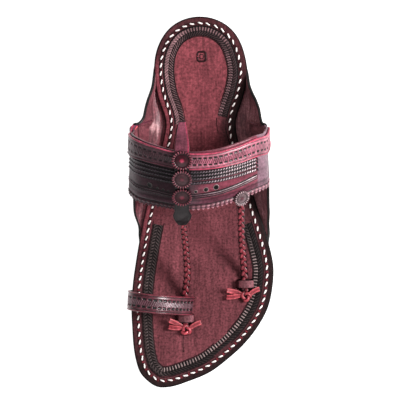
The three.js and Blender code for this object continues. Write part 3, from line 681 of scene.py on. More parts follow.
def inkLine(points, width, lift=0.07, tint=paint["ink"]):
    # a fine engraved line that lies on the insole
    points = np.array(points, float)
    length = arcOf(points)
    s = np.linspace(0, length[-1], max(int(length[-1] / 0.8), 4))
    path = spline(points, np.interp(s, length, np.linspace(0, 1, len(points))))
    out = sideways(path)
    spot = path[:, None] + out[:, None] * (np.array([-0.5, 0, 0.5]) * width)[None, :, None]
    return skinPart(layOn(spot, lift), layOn(spot, -0.3), tint)


def turnAt(along):
    return float(turnOf(along / last["length"]))


def heelTicks(path):
    # upright marks show at the back of the heel in the outer row, and along its outer side in the inner row
    back = 1 - smooth(path[:, 1], 14, 34)
    return 0.75 * back + 0.15, (1 - back) * smooth(-path[:, 0], -5, 18) * 0.55 + 0.1


def toeTicks(path):
    bold = smooth(path[:, 1] - path[:, 0], 195, 232)
    inner = smooth(path[:, 0], 20, 36)
    return inner * 0.45, np.clip(bold * (1 - inner) + 0.25, 0, 1)


# Engraved lines: beside the stamped rows as start, end, inset and width, and as given points to the waist.
engraved = {
    "rim": [(-turnAt(76), turnAt(80), 14.7, 0.5), (-turnAt(78), turnAt(82), 6.8, 0.45),
            (turnAt(150), 2 - turnAt(148), 15.5, 0.45), (turnAt(150), 2 - turnAt(148), 7.5, 0.45)],
    "waist": [[(-12.3, 75), (-12.3, 80.2), (-13.7, 89.9), (-15.6, 97), (-17, 106)],
              [(-18.9, 82.5), (-20.4, 88.5), (-22, 95.1), (-23.5, 104)],
              [(16, 78), (17.6, 85), (19.3, 93.5), (20.5, 104)]],
    "waistWidth": 0.55, "toe": [(12.3, 237), (12.6, 243), (12.2, 249)], "toeWidth": 0.4,
    "sealAt": (-1.1, 29.7), "sealTall": 1.18, "sealLines": [(3.3, 1.5), (1.5, 0.6)],
}


def borderParts():
    parts = [
        stampPart(-turnAt(76), turnAt(80), "heel", heelTicks),
        stampPart(turnAt(152), 2 - turnAt(150), "toe", toeTicks),
    ]
    for start, end, inset, width in engraved["rim"]:
        parts.append(inkLine(rimPath(start, end, inset, 2.0)[0], width))
    for line in engraved["waist"]:
        parts.append(inkLine(line, engraved["waistWidth"]))
    parts.append(inkLine(engraved["toe"], engraved["toeWidth"]))
    turn = np.linspace(0, math.tau, 40)
    bulge = 1 + 0.1 * np.cos(4 * turn + math.pi)
    x, y = engraved["sealAt"]
    for size, width in engraved["sealLines"]:  # a small plain stamp at the heel
        loop = np.stack([x + size * bulge * np.cos(turn),
                         y + engraved["sealTall"] * size * bulge * np.sin(turn)], axis=1)
        parts.append(inkLine(loop[::2], width, 0.1, mix(paint["ink"], paint["footbed"], 0.15)))
    return parts


makePiece("insole_border", borderParts(), hides["stamped"], None)

# Rand stitches in white thread, in a groove just inside the rim.
stitch = {"inset": 4.8, "pitch": 5.95, "long": 3.8, "half": 0.64, "slant": 0.62, "rise": 0.45, "groove": 2.5}
upward = np.array([0, 0, 1.0])


def threadPart(a, b, up, half, rise, sides=8):
    t = np.linspace(0, 1, 9)
    centres = a[None] * (1 - t[:, None]) + b[None] * t[:, None] + up * (rise * np.sin(math.pi * t))[:, None]
    radius = half * np.sqrt(np.maximum(1 - (2 * t - 1) ** 4, 0.02))
    twist = 1 + 0.1 * np.cos(2 * (np.arange(sides) / sides * math.tau)[None] - 9 * t[:, None])
    tint = mix(paint["thread"], paint["threadEnd"], np.abs(2 * t - 1) ** 6 * 0.7)
    return tubePart(centres, up, radius, radius * 0.85, sides, tint, twist)


def groovePart(pitch):
    path, s = rimPath(0, 2, stitch["inset"], 0.75)
    w = np.array([-0.5, -0.3, 0, 0.3, 0.5]) * stitch["groove"]
    spot = path[:, None] + sideways(path)[:, None] * w[None, :, None]
    phase = (s / pitch + 0.5) % 1
    fromHole = np.minimum(phase, 1 - phase)[:, None]
    across = (1 - smooth(np.abs(w), 0.5, 1.25))[None]
    shade = np.clip(across * (0.75 + 0.25 * hump(fromHole, 0, 0.16)), 0, 1)
    tint = mix(paint["margin"], paint["ink"], shade)
    gapTint = mix(paint["gap"], paint["gapToe"], smooth(spot[..., 1], 120, 195))
    tint = mix(tint, gapTint, across * hump(fromHole, 0, 0.09) * 0.85)
    lip = smooth(np.abs(w), 0.6, 1.0)[None] * (1 - smooth(np.abs(w), 1.0, 1.25))
    return skinPart(layOn(spot, 0.1 + 0.14 * lip), layOn(spot, -0.4), tint)


def stitchParts():
    path, s = rimPath(0, 2, stitch["inset"], 0.25)
    out = sideways(path)
    count = round(s[-1] / stitch["pitch"])
    pitch = s[-1] / count
    draw = np.random.default_rng(8)
    threads = []
    for k in range(count):
        middle = k * pitch + draw.uniform(-0.15, 0.15)
        ends = []
        for way in (-0.5, 0.5):
            i = int(round((middle + way * stitch["long"]) % s[-1] / s[-1] * (len(s) - 1)))
            xy = path[i] + out[i] * (stitch["slant"] * way * 2 + draw.uniform(-0.08, 0.08))
            ends.append(layOn(xy, 0.1))
        half = stitch["half"] * draw.uniform(0.9, 1.08)
        threads.append(threadPart(ends[0], ends[1], upward, half, stitch["rise"]))
    return threads, groovePart(pitch)


threads, groove = stitchParts()
makePiece("rand_stitches", threads, hides["thread"])
makePiece("rand_groove", [groove], hides["stamped"], None)
print("insole made, stitches:", len(threads))

# Instep band: arch rows from the inner wall over the ridge to the outer wall.
band = {
    "wall": 2.2, "instep": 68.7, "vamp": 49.5, "at": 100.4, "run": 43.4, "sweep": 18.0, "crown": 2.0,
    "sink": 0.5, "rounding": 0.55, "grooves": (0.815, 0.9),
}
archTable = {
    "rearOut": [0.463, 0.474, 0.441, 0.324, 0.124, -0.067, -0.238, -0.38, -0.447],
    "rearUp": [0.495, 0.684, 0.852, 0.951, 1, 0.965, 0.873, 0.742, 0.553],
    "rearBack": [0.84, 0.744, 0.578, 0.289, 0, 0.044, 0.311, 0.644, 0.78],
    "frontOut": [0.487, 0.485, 0.424, 0.286, 0.124, -0.071, -0.238, -0.39, -0.47],
    "frontUp": [0.495, 0.586, 0.72, 0.875, 1, 0.962, 0.858, 0.7, 0.54],
    "frontBack": [0.822, 0.622, 0.328, 0.144, 0, 0.083, 0.344, 0.711, 0.944],
}
seatTable = {
    "rise": [0.5, 1], "innerRear": [0.268, 0.281], "innerFront": [0.437, 0.453],
    "outerRear": [0.277, 0.289], "outerFront": [0.44, 0.455],
}


def bandPoint(u, v):
    u, v = np.broadcast_arrays(np.asarray(u, float), np.asarray(v, float))
    rows = {"inner": [], "outer": [], "free": []}
    for side in ("inner", "outer"):
        for k in range(2):
            at = seatTable[side + "Rear"][k] * (1 - v) + seatTable[side + "Front"][k] * v
            inward = band["sink"] - (flap["wall"] + band["wall"]) / 2
            rows[side].append(lifted(flaps[side], at, seatTable["rise"][k], inward))
    for k in range(9):
        row = {name: archTable[name][k] for name in archTable}
        across = last["ballWidth"] * (row["rearOut"] * (1 - v) + row["frontOut"] * v)
        up = band["instep"] * row["rearUp"] * (1 - v) + band["vamp"] * row["frontUp"] * v
        back = band["sweep"] * (row["rearBack"] * (1 - v) + row["frontBack"] * v)
        along = band["at"] + band["run"] * v - back
        crown = 4 * band["crown"] * v * (1 - v) * min(1, row["rearUp"])
        rows["free"].append(place(across, along, footbed(along) + up + crown))
    controls = np.stack(rows["inner"] + rows["free"] + rows["outer"][::-1], axis=-2)
    return spline(controls, u)


bandSurface = (bandPoint, -1)
ridgeShare, flapTopShare = 0.5, 1 / 12
bandSpan = np.linspace(0, 1, 601)
bandArc = arcOf(bandPoint(bandSpan, 0.5))
print("band arc mm:", round(float(bandArc[-1]), 1))

teeth = {"pitch": 3.6, "deep": 1.7, "steps": 6, "rowAt": 3.1, "rowHigh": 0.5, "lineAt": 4.0}


def bandTint(u, v):
    dark = 1 - smooth(u + 0.02 * ripple(u * 30, v * 5, 11), 0.47, 0.6)  # painted shade and deeper dye: darker on the inner side, which faces away from the key light
    base = mix(paint["band"], paint["bandDark"], dark)
    base = mix(base, paint["bandRoot"], 1 - smooth(u, 0.17, 0.178))
    front = smooth(v, 0.76, 0.84)
    base = mix(base, paint["bandDark"] * 1.6, front * 0.7)
    return mix(base, paint["bandEnd"], smooth(u, 0.754, 0.762) * (1 - 0.3 * front))


def makeBand():
    toothCount = int(bandArc[-1] / teeth["pitch"])
    us = np.linspace(0, 1, toothCount * teeth["steps"] + 1)
    vs = np.concatenate([[0, 0.002, 0.006, 0.014], np.linspace(0.03, 0.88, 46),
                         np.linspace(0.892, 0.984, 16), [0.99, 0.996, 1.0]])
    uGrid, vGrid = np.meshgrid(us, vs, indexing="ij")
    phase = (np.interp(uGrid, bandSpan, bandArc) / teeth["pitch"]) % 1
    notch = np.abs(2 * phase - 1) ** 1.3  # 0 at a tooth's tip, 1 between two
    pull = teeth["deep"] / band["run"] * notch * smooth(vGrid, 0.93, 1.0)
    vBent = vGrid - pull
    fromEdge = np.minimum(vGrid, 1 - vGrid) * band["run"]
    fromFront = band["run"] - vGrid * band["run"]
    row = hump(fromFront, teeth["rowAt"], 0.6)
    relief = teeth["rowHigh"] * row * (1 - notch) - 0.25 * hump(fromFront, teeth["lineAt"], 0.35)
    relief += 0.16 * ripple(uGrid * 24, vGrid * 6, 21)
    line = np.zeros(uGrid.shape)
    for at, wide in zip(band["grooves"], (0.45, 0.4)):
        relief -= 0.3 * hump((vGrid - at) * band["run"], 0, 0.4)
        line += hump((vGrid - at) * band["run"], 0, wide)
    tint = mix(bandTint(uGrid, vGrid), paint["ink"], np.clip(line, 0, 1) * 0.9)
    lit = smooth(uGrid, 0.44, 0.58)
    tip = mix(paint["gap"] * 1.2, paint["toothTip"], lit)
    edge = smooth(vGrid, 0.955, 0.975)
    tint = mix(tint, paint["ink"], np.clip(hump(fromFront, teeth["rowAt"], 1.0) * notch, 0, 1))
    tint = mix(tint, tip, np.clip(row * (1 - notch) * 1.3, 0, 1) * (0.45 + 0.45 * lit))
    tint = mix(tint, tip, edge * (1 - smooth(notch, 0.3, 0.6)) * (0.35 + 0.45 * lit))
    tint = mix(tint, paint["ink"], smooth(notch, 0.45, 0.8) * edge)
    thick = band["wall"] / 2 - edgeDrop(fromEdge, band["rounding"])
    top = lifted(bandSurface, uGrid, vBent, thick + relief * (fromEdge > 0.3))
    low = lifted(bandSurface, uGrid, vBent, -thick)
    # the lining takes the flaps' colours at its roots, and bare hide shows above the inner one
    lining = mix(paint["flapIn"], paint["flapShade"] * 0.8, smooth(uGrid, 0.2, 0.4))
    bare = smooth(uGrid, 0.076, 0.084) * (1 - smooth(uGrid, 0.115, 0.15)) * (1 - smooth(vGrid, 0.14, 0.24))
    lining = mix(lining, paint["corner"], bare)
    lining = mix(lining, paint["ink"], hump(uGrid, 0.074, 0.004))
    points, faces, colours = skinPart(top, low, tint)
    colours[len(points) // 2:] = lining.reshape(-1, 3)
    return points, faces, colours


# Creases of the flaps: share of the length, height on the flap, width, depth and lean.
creases = {
    "inner": [(0.20, 0.35, 5.0, 0.35, 0.5), (0.245, 0.55, 4.0, 0.4, 0.4), (0.30, 0.4, 6.5, -0.35, 0.1),
              (0.345, 0.5, 5.0, 0.4, -0.1), (0.395, 0.42, 6.0, 0.4, -0.3), (0.44, 0.45, 5.0, -0.35, -0.4),
              (0.49, 0.3, 5.0, 0.35, -0.5)],
    "outer": [(0.21, 0.4, 5.0, 0.35, 0.5), (0.26, 0.5, 5.0, -0.35, 0.3), (0.32, 0.45, 6.0, 0.4, 0.1),
              (0.38, 0.4, 6.0, -0.3, -0.1), (0.43, 0.5, 5.0, 0.35, -0.3), (0.50, 0.35, 6.0, 0.3, -0.4)],
}
# Lengthwise folds: height on the flap, width there, depth, sway and phase.
folds = [(0.10, 0.03, 0.25, 0.02, 0.0), (0.19, 0.018, -0.2, 0.025, 1.1), (0.27, 0.022, 0.22, 0.03, 2.0),
         (0.36, 0.016, -0.16, 0.02, 3.3), (0.44, 0.02, 0.2, 0.03, 0.6), (0.53, 0.018, -0.16, 0.02, 4.1),
         (0.61, 0.016, 0.16, 0.03, 5.0), (0.70, 0.02, -0.14, 0.02, 2.6), (0.79, 0.018, 0.14, 0.025, 1.7)]


def flapRelief(side, u, v):
    total = 0.15 * ripple(u * 60, v * 7, 31 if side == "inner" else 37)
    total += 0.07 * ripple(u * 45, v * 48, 33 if side == "inner" else 39)
    for at, high, width, deep, lean in creases[side]:
        off = (u - at) * last["length"] - lean * (v - high) * flap["height"]
        total += deep * hump(off, 0, width) * hump(v, high, 0.35)
    for low, width, deep, sway, phase in folds:
        wave = v - low - sway * np.sin(u * 48 + phase)
        total += deep * hump(wave, 0, width) * (0.6 + 0.4 * np.sin(u * 31 + 2 * phase))
    return total * smooth(v, 0.02, 0.08) * (1 - smooth(v, 0.9, 1.0))


# How each flap's lining is tinted: its colour, and the shares of the light valleys (wear and painted
# highlight) and the dark crests (painted shade in the lining's hollows).
linings = {"inner": (paint["flapIn"], 0.6, 0.3), "outer": (paint["flapShade"], 0.22, 0.5)}


def makeFlap(side):
    us, fromEnd = edgeSteps(flap["from"], flap["to"], 124, flap["length"], flap["rounding"])
    vs = np.concatenate([[-1, -0.6, -0.25, -0.04], np.linspace(0, 0.97, 68), [0.982, 0.992, 1.0]])
    uGrid, vGrid = np.meshgrid(us, vs, indexing="ij")
    fromTop = (1 - vGrid) * flap["depth"]
    thick = flap["wall"] / 2 - edgeDrop(np.minimum(fromTop, fromEnd[:, None]), flap["rounding"])
    relief = flapRelief(side, uGrid, vGrid)
    outer = lifted(flaps[side], uGrid, vGrid, relief + thick)
    inner = lifted(flaps[side], uGrid, vGrid, relief - thick)
    crest = smooth(relief, 0.1, 0.5)
    valley = smooth(-relief, 0.03, 0.35)
    inside, lightValley, darkCrest = linings[side]
    # On each face the ridges are painted lighter, from wear and painted highlight, and the hollows darker, a
    # painted shade in the creases.
    outTint = mix(paint["flapOut"], paint["flapOutWearAndHighlight"], crest * 0.6)
    outTint = mix(outTint, paint["flapInDark"], valley * 0.5)
    inTint = mix(inside, paint["flapInWearAndHighlight"], valley * lightValley)
    inTint = mix(inTint, paint["flapInDark"], crest * darkCrest)
    points, faces, _ = skinPart(outer, inner, paint["ink"])
    edge = 1 - smooth(fromTop, 0.2, 1.3)
    colours = [mix(tint, paint["ink"], edge).reshape(-1, 3) for tint in (outTint, inTint)]
    return points, faces, np.concatenate(colours), 1


makePiece("upper_leather", [makeBand(), makeFlap("inner"), makeFlap("outer")],
          [hides["bandHide"], hides["flapHide"]], "upper")
print("upper made")


# Punched trim: piped edges, two rows of slits and a ribbed middle, for the border strap and the toe loop.
trim = {
    "piping": 1.2, "slitPitch": 3.9, "slitShare": 0.66, "slitHalf": 0.8, "ribPitch": 1.5, "grooveAt": 1.55,
    "rows": (0.3, 0.7),
    "steps": np.concatenate([[0, 0.015, 0.045], np.linspace(0.07, 0.93, 40), [0.955, 0.985, 1]]),
}


def trimForm(s, w, width, tones):
    base, piping, ribTone = tones
    edge = np.minimum(w, width - w)
    piped = edge < trim["piping"]
    height = 0.38 * np.sin(math.pi * np.clip(edge / trim["piping"], 0, 1)) * piped
    height -= 0.22 * hump(edge, trim["grooveAt"], 0.28)
    rowA, rowB = [share * width for share in trim["rows"]]
    inRow = np.maximum(*[np.exp(-((w - row) / trim["slitHalf"]) ** 4) for row in (rowA, rowB)])
    phase = (s / trim["slitPitch"]) % 1
    slit = inRow * smooth(trim["slitShare"] / 2 - np.abs(phase - 0.5), -0.05, 0.05)
    ribs = smooth(w, rowA + 0.6, rowA + 1.1) * (1 - smooth(w, rowB - 1.1, rowB - 0.6))
    rib = 0.5 + 0.5 * np.cos(math.tau * (s + 0.35 * w) / trim["ribPitch"])
    height = height + 0.16 * ribs * (rib - 0.5) - 0.5 * slit
    height += 0.12 * hump(w, rowA - 1.3, 0.4) + 0.12 * hump(w, rowB + 1.3, 0.4)
    tint = mix(base, piping, piped * 0.9)
    tint = mix(tint, paint["ink"], 0.9 * hump(edge, trim["grooveAt"], 0.32))
    tint = mix(tint, ribTone, ribs * rib * 0.8)
    tint = mix(tint, paint["bandDark"], ribs * (1 - rib) * 0.85)
    tint = mix(tint, paint["ink"], np.clip(slit * 1.3, 0, 1))
    return height, tint


# Border strap on the band's rear edge: its front edge lies at a share of the band's depth.
borderStrap = {
    "start": flapTopShare + 0.025, "share": 1 / 3, "wall": 1.3, "lie": 0.5, "rounding": 0.4, "stations": 620,
    "frontAt": [0.1, 0.31, 0.37, 0.46, 0.55, 0.62, 0.69, 0.75, 0.83, 0.92],
    "front": [0.333, 0.318, 0.295, 0.28, 0.29, 0.315, 0.34, 0.352, 0.362, 0.36],
    "tones": (paint["strap"], paint["piping"], paint["strap"] * 1.25),
}


def makeBorderStrap():
    width = borderStrap["share"] * band["run"]
    low = band["wall"] / 2 + borderStrap["lie"]
    arcStart, arcEnd = np.interp([borderStrap["start"], 1 - borderStrap["start"]], bandSpan, bandArc)
    s = np.linspace(arcStart, arcEnd, borderStrap["stations"])
    us = np.interp(s, bandArc, bandSpan)
    uGrid, wGrid = np.meshgrid(us, trim["steps"] * width, indexing="ij")
    rear = 0.008 + 0.03 * smooth(us, 0.5, 0.62)
    front = np.interp(us, borderStrap["frontAt"], borderStrap["front"])
    height, tint = trimForm(s[:, None], wGrid, width, borderStrap["tones"])
    piped = 1 - smooth(wGrid, 0.4, 1.4)
    # Painted shade and deeper dye: the strap darkens on its inner half, which faces away from the key light.
    dark = (1 - smooth(uGrid, 0.46, 0.57)) * 0.93 * (1 - piped) + (1 - smooth(uGrid, 0.4, 0.57)) * 0.4 * piped
    tint = mix(tint, tint * 0.08 + paint["bandDark"] * 0.8, dark)
    drop = edgeDrop(np.minimum(wGrid, width - wGrid), borderStrap["rounding"])
    vGrid = rear[:, None] + wGrid / width * (front - rear)[:, None]
    top = lifted(bandSurface, uGrid, vGrid, low + borderStrap["wall"] - drop + height)
    return skinPart(top, lifted(bandSurface, uGrid, vGrid, low), tint)


makePiece("border_strap_leather", [makeBorderStrap()], hides["glazed"], "border_strap")

# Toe loop, from its root in the seam to its slot, over the insole.
toeLoop = {
    "width": 14.0, "height": 26.0, "wall": 2.0, "rounding": 0.6, "lean": 0.12, "start": 0.008, "end": 0.985,
    "stations": 420, "tones": (paint["loop"], paint["loopPiping"], paint["loopRib"]),
}
loopTable = {
    "out": [0.385, 0.445, 0.4835, 0.4925, 0.4965, 0.499, 0.4985, 0.481, 0.432, 0.37, 0.3, 0.222, 0.148,
            0.088, 0.062, 0.058, 0.057],
    "at": [0.763, 0.763, 0.763, 0.763, 0.763, 0.763, 0.764, 0.766, 0.769, 0.772, 0.775, 0.777, 0.779,
           0.78, 0.78, 0.78, 0.78],
    "up": [0, 0, 0, 0, 0, 0.08, 0.42, 0.74, 0.93, 1, 0.96, 0.79, 0.53, 0.26, 0.12, 0, 0],
    "down": [1, 1, 1, 0.88, 0.58, 0, 0, 0, 0, 0, 0, 0, 0, 0, 0, 0, 1.35],
}
loopControls = np.stack([
    np.array(loopTable["out"]) * last["ballWidth"], np.array(loopTable["at"]) * last["length"],
    np.array(loopTable["up"]) * toeLoop["height"] - np.array(loopTable["down"]) * seamDepth], axis=1)


def loopPoint(u, v):
    u, v = np.broadcast_arrays(np.asarray(u, float), np.asarray(v, float))
    lean = toeLoop["lean"] * smooth(u, 0.1, 0.6)
    reach = (v - 0.5) * toeLoop["width"]
    spot = spline(loopControls, u)
    along = spot[..., 1] + reach * np.sqrt(1 - lean**2)
    return place(spot[..., 0] + reach * lean, along, footbed(along) + spot[..., 2])


def makeToeLoop():
    span = np.linspace(toeLoop["start"], toeLoop["end"], 400)
    arc = arcOf(loopPoint(span, 0.5))
    s = np.linspace(0, arc[-1], toeLoop["stations"])
    width = toeLoop["width"]
    uGrid, wGrid = np.meshgrid(np.interp(s, arc, span), trim["steps"] * width, indexing="ij")
    height, tint = trimForm(s[:, None], wGrid, width, toeLoop["tones"])
    shown = smooth(uGrid, 0.24, 0.28) * (1 - smooth(uGrid, 0.93, 0.96))
    tint = mix(tint, tint * 1.9, 0.9 * (1 - smooth(uGrid, 0.36, 0.5)))
    thick = toeLoop["wall"] / 2 - edgeDrop(np.minimum(wGrid, width - wGrid), toeLoop["rounding"])
    top = lifted((loopPoint, -1), uGrid, wGrid / width, thick + height * shown)
    under = lifted((loopPoint, -1), uGrid, wGrid / width, -thick)
    points, faces, colours = skinPart(top, under, tint)
    colours[len(points) // 2:] = paint["flapInDark"]
    return points, faces, colours


makePiece("toe_loop_leather", [makeToeLoop()], hides["glazed"], "toe_loop")
print("straps made")


# Ropes on the band: twisted ridges, with a hooked slit at each end, and a double cord in front with a painted
# highlight.
ropes = {
    "half": 0.7, "tall": 0.63, "pitch": 2.2, "sides": 8, "from": 0.185, "to": 0.748,
    "at": [0.18, 0.365, 0.5, 0.595, 0.75],
    "rows": [[0.362, 0.345, 0.34, 0.352, 0.397], [0.425, 0.408, 0.395, 0.406, 0.45],
             [0.485, 0.47, 0.452, 0.462, 0.512], [0.55, 0.54, 0.522, 0.53, 0.58]],
    "grooves": (-0.02, 0.021),
    "cordAt": [0.1, 0.3, 0.5, 0.62, 0.752], "cord": [0.73, 0.735, 0.745, 0.735, 0.70],
    "cordLines": [(-0.012, 0.42, 0.45, 1.0), (0.02, 0.42, 0.4, 0.3)],  # off, wide, tall and how bright its painted highlight is
    "cordGrooves": (-0.03, 0.004, 0.038),
}


def bandLine(at, rows, start, end, spacing, lift):
    arcs = np.interp([start, end], bandSpan, bandArc)
    s = np.linspace(arcs[0], arcs[1], int((arcs[1] - arcs[0]) / spacing))
    u = np.interp(s, bandArc, bandSpan)
    v = np.interp(u, at, rows)
    on = lifted(bandSurface, u, v, lift)
    return on, lifted(bandSurface, u, v, lift + 1.0) - on, s, u


def ropeParts():
    parts = []
    surface = band["wall"] / 2
    turn = np.arange(ropes["sides"]) / ropes["sides"] * math.tau
    for row in ropes["rows"]:
        centres, up, s, u = bandLine(ropes["at"], row, ropes["from"], ropes["to"], 0.34, surface + 0.12)
        wave = np.cos(turn[None] - math.tau * s[:, None] / ropes["pitch"])
        # Painted highlight: the rope's swelling crowns are lighter, most on the outer half, which faces the
        # key light.
        lit = smooth(u, 0.5, 0.68)[:, None]
        dark = mix(paint["ink"], paint["bandDark"], 0.5)
        light = mix(paint["ropeHighlight"], paint["bandGlint"], lit)
        tint = mix(dark, light, smooth(wave, 0.1, 0.75) * (0.4 + 0.6 * lit))
        twist = 1 + 0.22 * wave
        parts.append(tubePart(centres, up, ropes["half"], ropes["tall"], ropes["sides"], tint, twist))
        for off in ropes["grooves"]:  # a black groove on both sides of the rope
            groove, up, _, _ = bandLine(ropes["at"], [v + off for v in row], ropes["from"] - 0.002,
                                        ropes["to"] + 0.003, 0.8, surface + 0.01)
            parts.append(tubePart(groove, up, 0.4, 0.12, 6, paint["ink"]))
        for end, way, v in ((ropes["to"] + 0.004, 1, row[-1]), (ropes["from"] - 0.004, -1, row[0])):
            t = np.linspace(0, 1, 7)
            hookU, hookV = end + way * 0.009 * np.sin(t * 2.2), v - 0.02 + 0.055 * t
            hook = lifted(bandSurface, hookU, hookV, surface + 0.05)
            up = lifted(bandSurface, hookU, hookV, surface + 1.05) - hook
            parts.append(tubePart(hook, up, 0.7 * np.sin(math.pi * (0.12 + 0.8 * t)), 0.25, 6, paint["ink"]))
    for off, wide, tall, bright in ropes["cordLines"]:  # a double cord, with a painted highlight on its outer half
        centres, up, _, u = bandLine(ropes["cordAt"], [v + off for v in ropes["cord"]], 0.13, 0.752, 0.8,
                                     surface + 0.1)
        # Painted highlight: the cord lightens towards bandGlint on the outer half, which faces the key light.
        tone = paint["band"] * (1 - bright) + paint["bandGlint"] * bright * 0.55
        tint = mix(paint["bandDark"] * 1.4, tone, smooth(u, 0.5, 0.7) * 0.9)
        parts.append(tubePart(centres, up, wide, tall, 8, tint))
    for off in ropes["cordGrooves"]:
        centres, up, _, _ = bandLine(ropes["cordAt"], [v + off for v in ropes["cord"]], 0.125, 0.757, 0.8,
                                     surface + 0.01)
        parts.append(tubePart(centres, up, 0.42, 0.14, 6, paint["ink"]))
    return parts


def discFrame(surface, u, v, lift, axis):
    # the foot of a round piece on a surface, the way up from it and two ways across
    foot = spotOn(surface, u, v, lift)
    up = spotOn(surface, u, v, lift + 1.0) - foot
    side = np.cross(axis, up)
    side = side / np.linalg.norm(side)
    return foot, up, side, np.cross(up, side)


def dotPart(u, v, radius):
    # a punched dot: a dark dish with a fine raised lip
    foot, up, side, other = discFrame(bandSurface, u, v, band["wall"] / 2, [0, -1, 0])
    rings = [(0.02, 0.1), (0.7, 0.1), (0.86, 0.18), (0.96, 0.3), (1.08, 0.12), (1.12, -0.4)]
    sides = 20
    turn = np.arange(sides) / sides * math.tau
    points = np.array([foot + radius * r * (np.cos(t) * side + np.sin(t) * other) + up * h
                       for r, h in rings for t in turn])
    # Painted light with deeper dye: the lip is lighter on the band's outer half, which faces the key light.
    lip = paint["stampLight"] * (0.9 if u > 0.5 else 0.3)
    tints = [paint["ink"]] * 3 + [lip] * 2 + [paint["bandDark"]]
    return points, outward(points, ringFaces(len(rings), sides)), np.repeat(np.array(tints), sides, axis=0)


# Punched dots: place over the band, place along its depth, and radius.
dots = [(0.54, 0.67, 1.3), (0.57, 0.652, 1.8), (0.602, 0.64, 2.1), (0.39, 0.66, 2.0), (0.42, 0.68, 1.0),
        (0.44, 0.682, 0.9), (0.457, 0.685, 0.8)]
makePiece("band_ropes", ropeParts(), hides["glazed"], None)
makePiece("band_dots", [dotPart(*dot) for dot in dots], hides["glazed"], None)

# Centre strip over the ridge, with its tail behind and its pointed tip in front.
strip = {
    "wall": 1.4, "half": 5.4, "lie": 0.5, "ridge": 150.0, "across": 0.124, "length": 90, "rounding": 0.5,
    "lineAt": 1.5,
}
tailRows = [(0.285, 1.115, 0.48), (0.32, 1.085, 0.8), (0.35, 1.06, 1)]
tipRows = [(0.536, 0.728, 1.26), (0.549, 0.694, 1.0), (0.561, 0.651, 0.5)]


def stripSpine():
    points, halves = [], []

    def free(rows):
        for at, up, half in rows:
            along = at * last["length"]
            height = footbed(along) + up * band["instep"]
            points.append(place(last["ballWidth"] * strip["across"], along, height))
            halves.append(half * strip["half"])

    free(tailRows)
    for v in (0.03, 0.2, 0.34, 0.5, 0.65, 0.8, 0.97):
        over = (borderStrap["wall"] + fit) * (1 - smooth(v, borderStrap["share"], 0.9))
        lift = band["wall"] / 2 + strip["lie"] + over + strip["wall"] / 2
        points.append(spotOn(bandSurface, ridgeShare, v, lift))
        halves.append(strip["half"])
    free(tipRows)
    return np.array(points), {"at": list(np.linspace(0, 1, len(points))), "half": halves}


stripControls, stripWidths = stripSpine()


def stripPoint(u, v):
    u, v = np.broadcast_arrays(np.asarray(u, float), np.asarray(v, float))
    off = u * readTable(stripWidths, "half", v)
    point = spline(stripControls, v)
    return point + np.stack([off, np.zeros_like(off), -(off**2) / (2 * strip["ridge"])], axis=-1)


def makeCentreStrip():
    us, fromSide = edgeSteps(-1, 1, 15, 2 * strip["half"], strip["rounding"])
    vs, fromEnd = edgeSteps(0, 1, 130, strip["length"], strip["rounding"])
    uGrid, vGrid = np.meshgrid(us, vs, indexing="ij")
    fromSide = fromSide[:, None]
    fromEdge = np.minimum(fromSide, fromEnd[None])
    line = hump(fromSide, strip["lineAt"], 0.35)
    relief = 0.1 * ripple(uGrid * 3, vGrid * 20, 41) - 0.2 * line
    tint = mix(paint["stripTail"], paint["strip"], smooth(vGrid, 0.2, 0.3))
    # Painted highlight: a lighter line along the tail's outer edge, which faces the key light.
    tint = mix(tint, paint["piping"] * 1.1, (uGrid < -0.7) * (vGrid < 0.24) * 0.6)
    tint = mix(tint, paint["ink"], 0.8 * line * (vGrid > 0.24))
    tint = mix(tint, paint["ink"], 1 - smooth(fromEdge, 0.1, 0.6))
    thick = strip["wall"] / 2 - edgeDrop(fromEdge, strip["rounding"])
    return skinPart(lifted((stripPoint, 1), uGrid, vGrid, thick + relief),
                    lifted((stripPoint, 1), uGrid, vGrid, -thick), tint)


makePiece("centre_strip_leather", [makeCentreStrip()], hides["bandHide"], "centre_strip")

# Rosettes: a pinked rim of raised ticks round a smooth dish, three on the strip and one on the band.
rosette = {"wall": 1.7, "teeth": 22, "samples": 6, "tooth": 0.9, "grooveAt": 0.64}
onStrip = {"on": (stripPoint, 1), "u": 0.0, "lift": 1.0}
discs = {
    "rosette_rear": {**onStrip, "radius": 7.7, "v": 0.2925, "heart": 0.9, "grey": 0.0},
    "rosette_middle": {**onStrip, "radius": 7.5, "v": 0.461, "heart": 0.15, "grey": 0.1},
    "rosette_front": {**onStrip, "radius": 7.5, "v": 0.626, "heart": 0.35, "grey": 0.0},
    "rosette_side": {"on": bandSurface, "u": 0.69, "lift": 1.4, "radius": 6.2, "v": 0.955,
                     "heart": 0.1, "grey": 0.75},
}


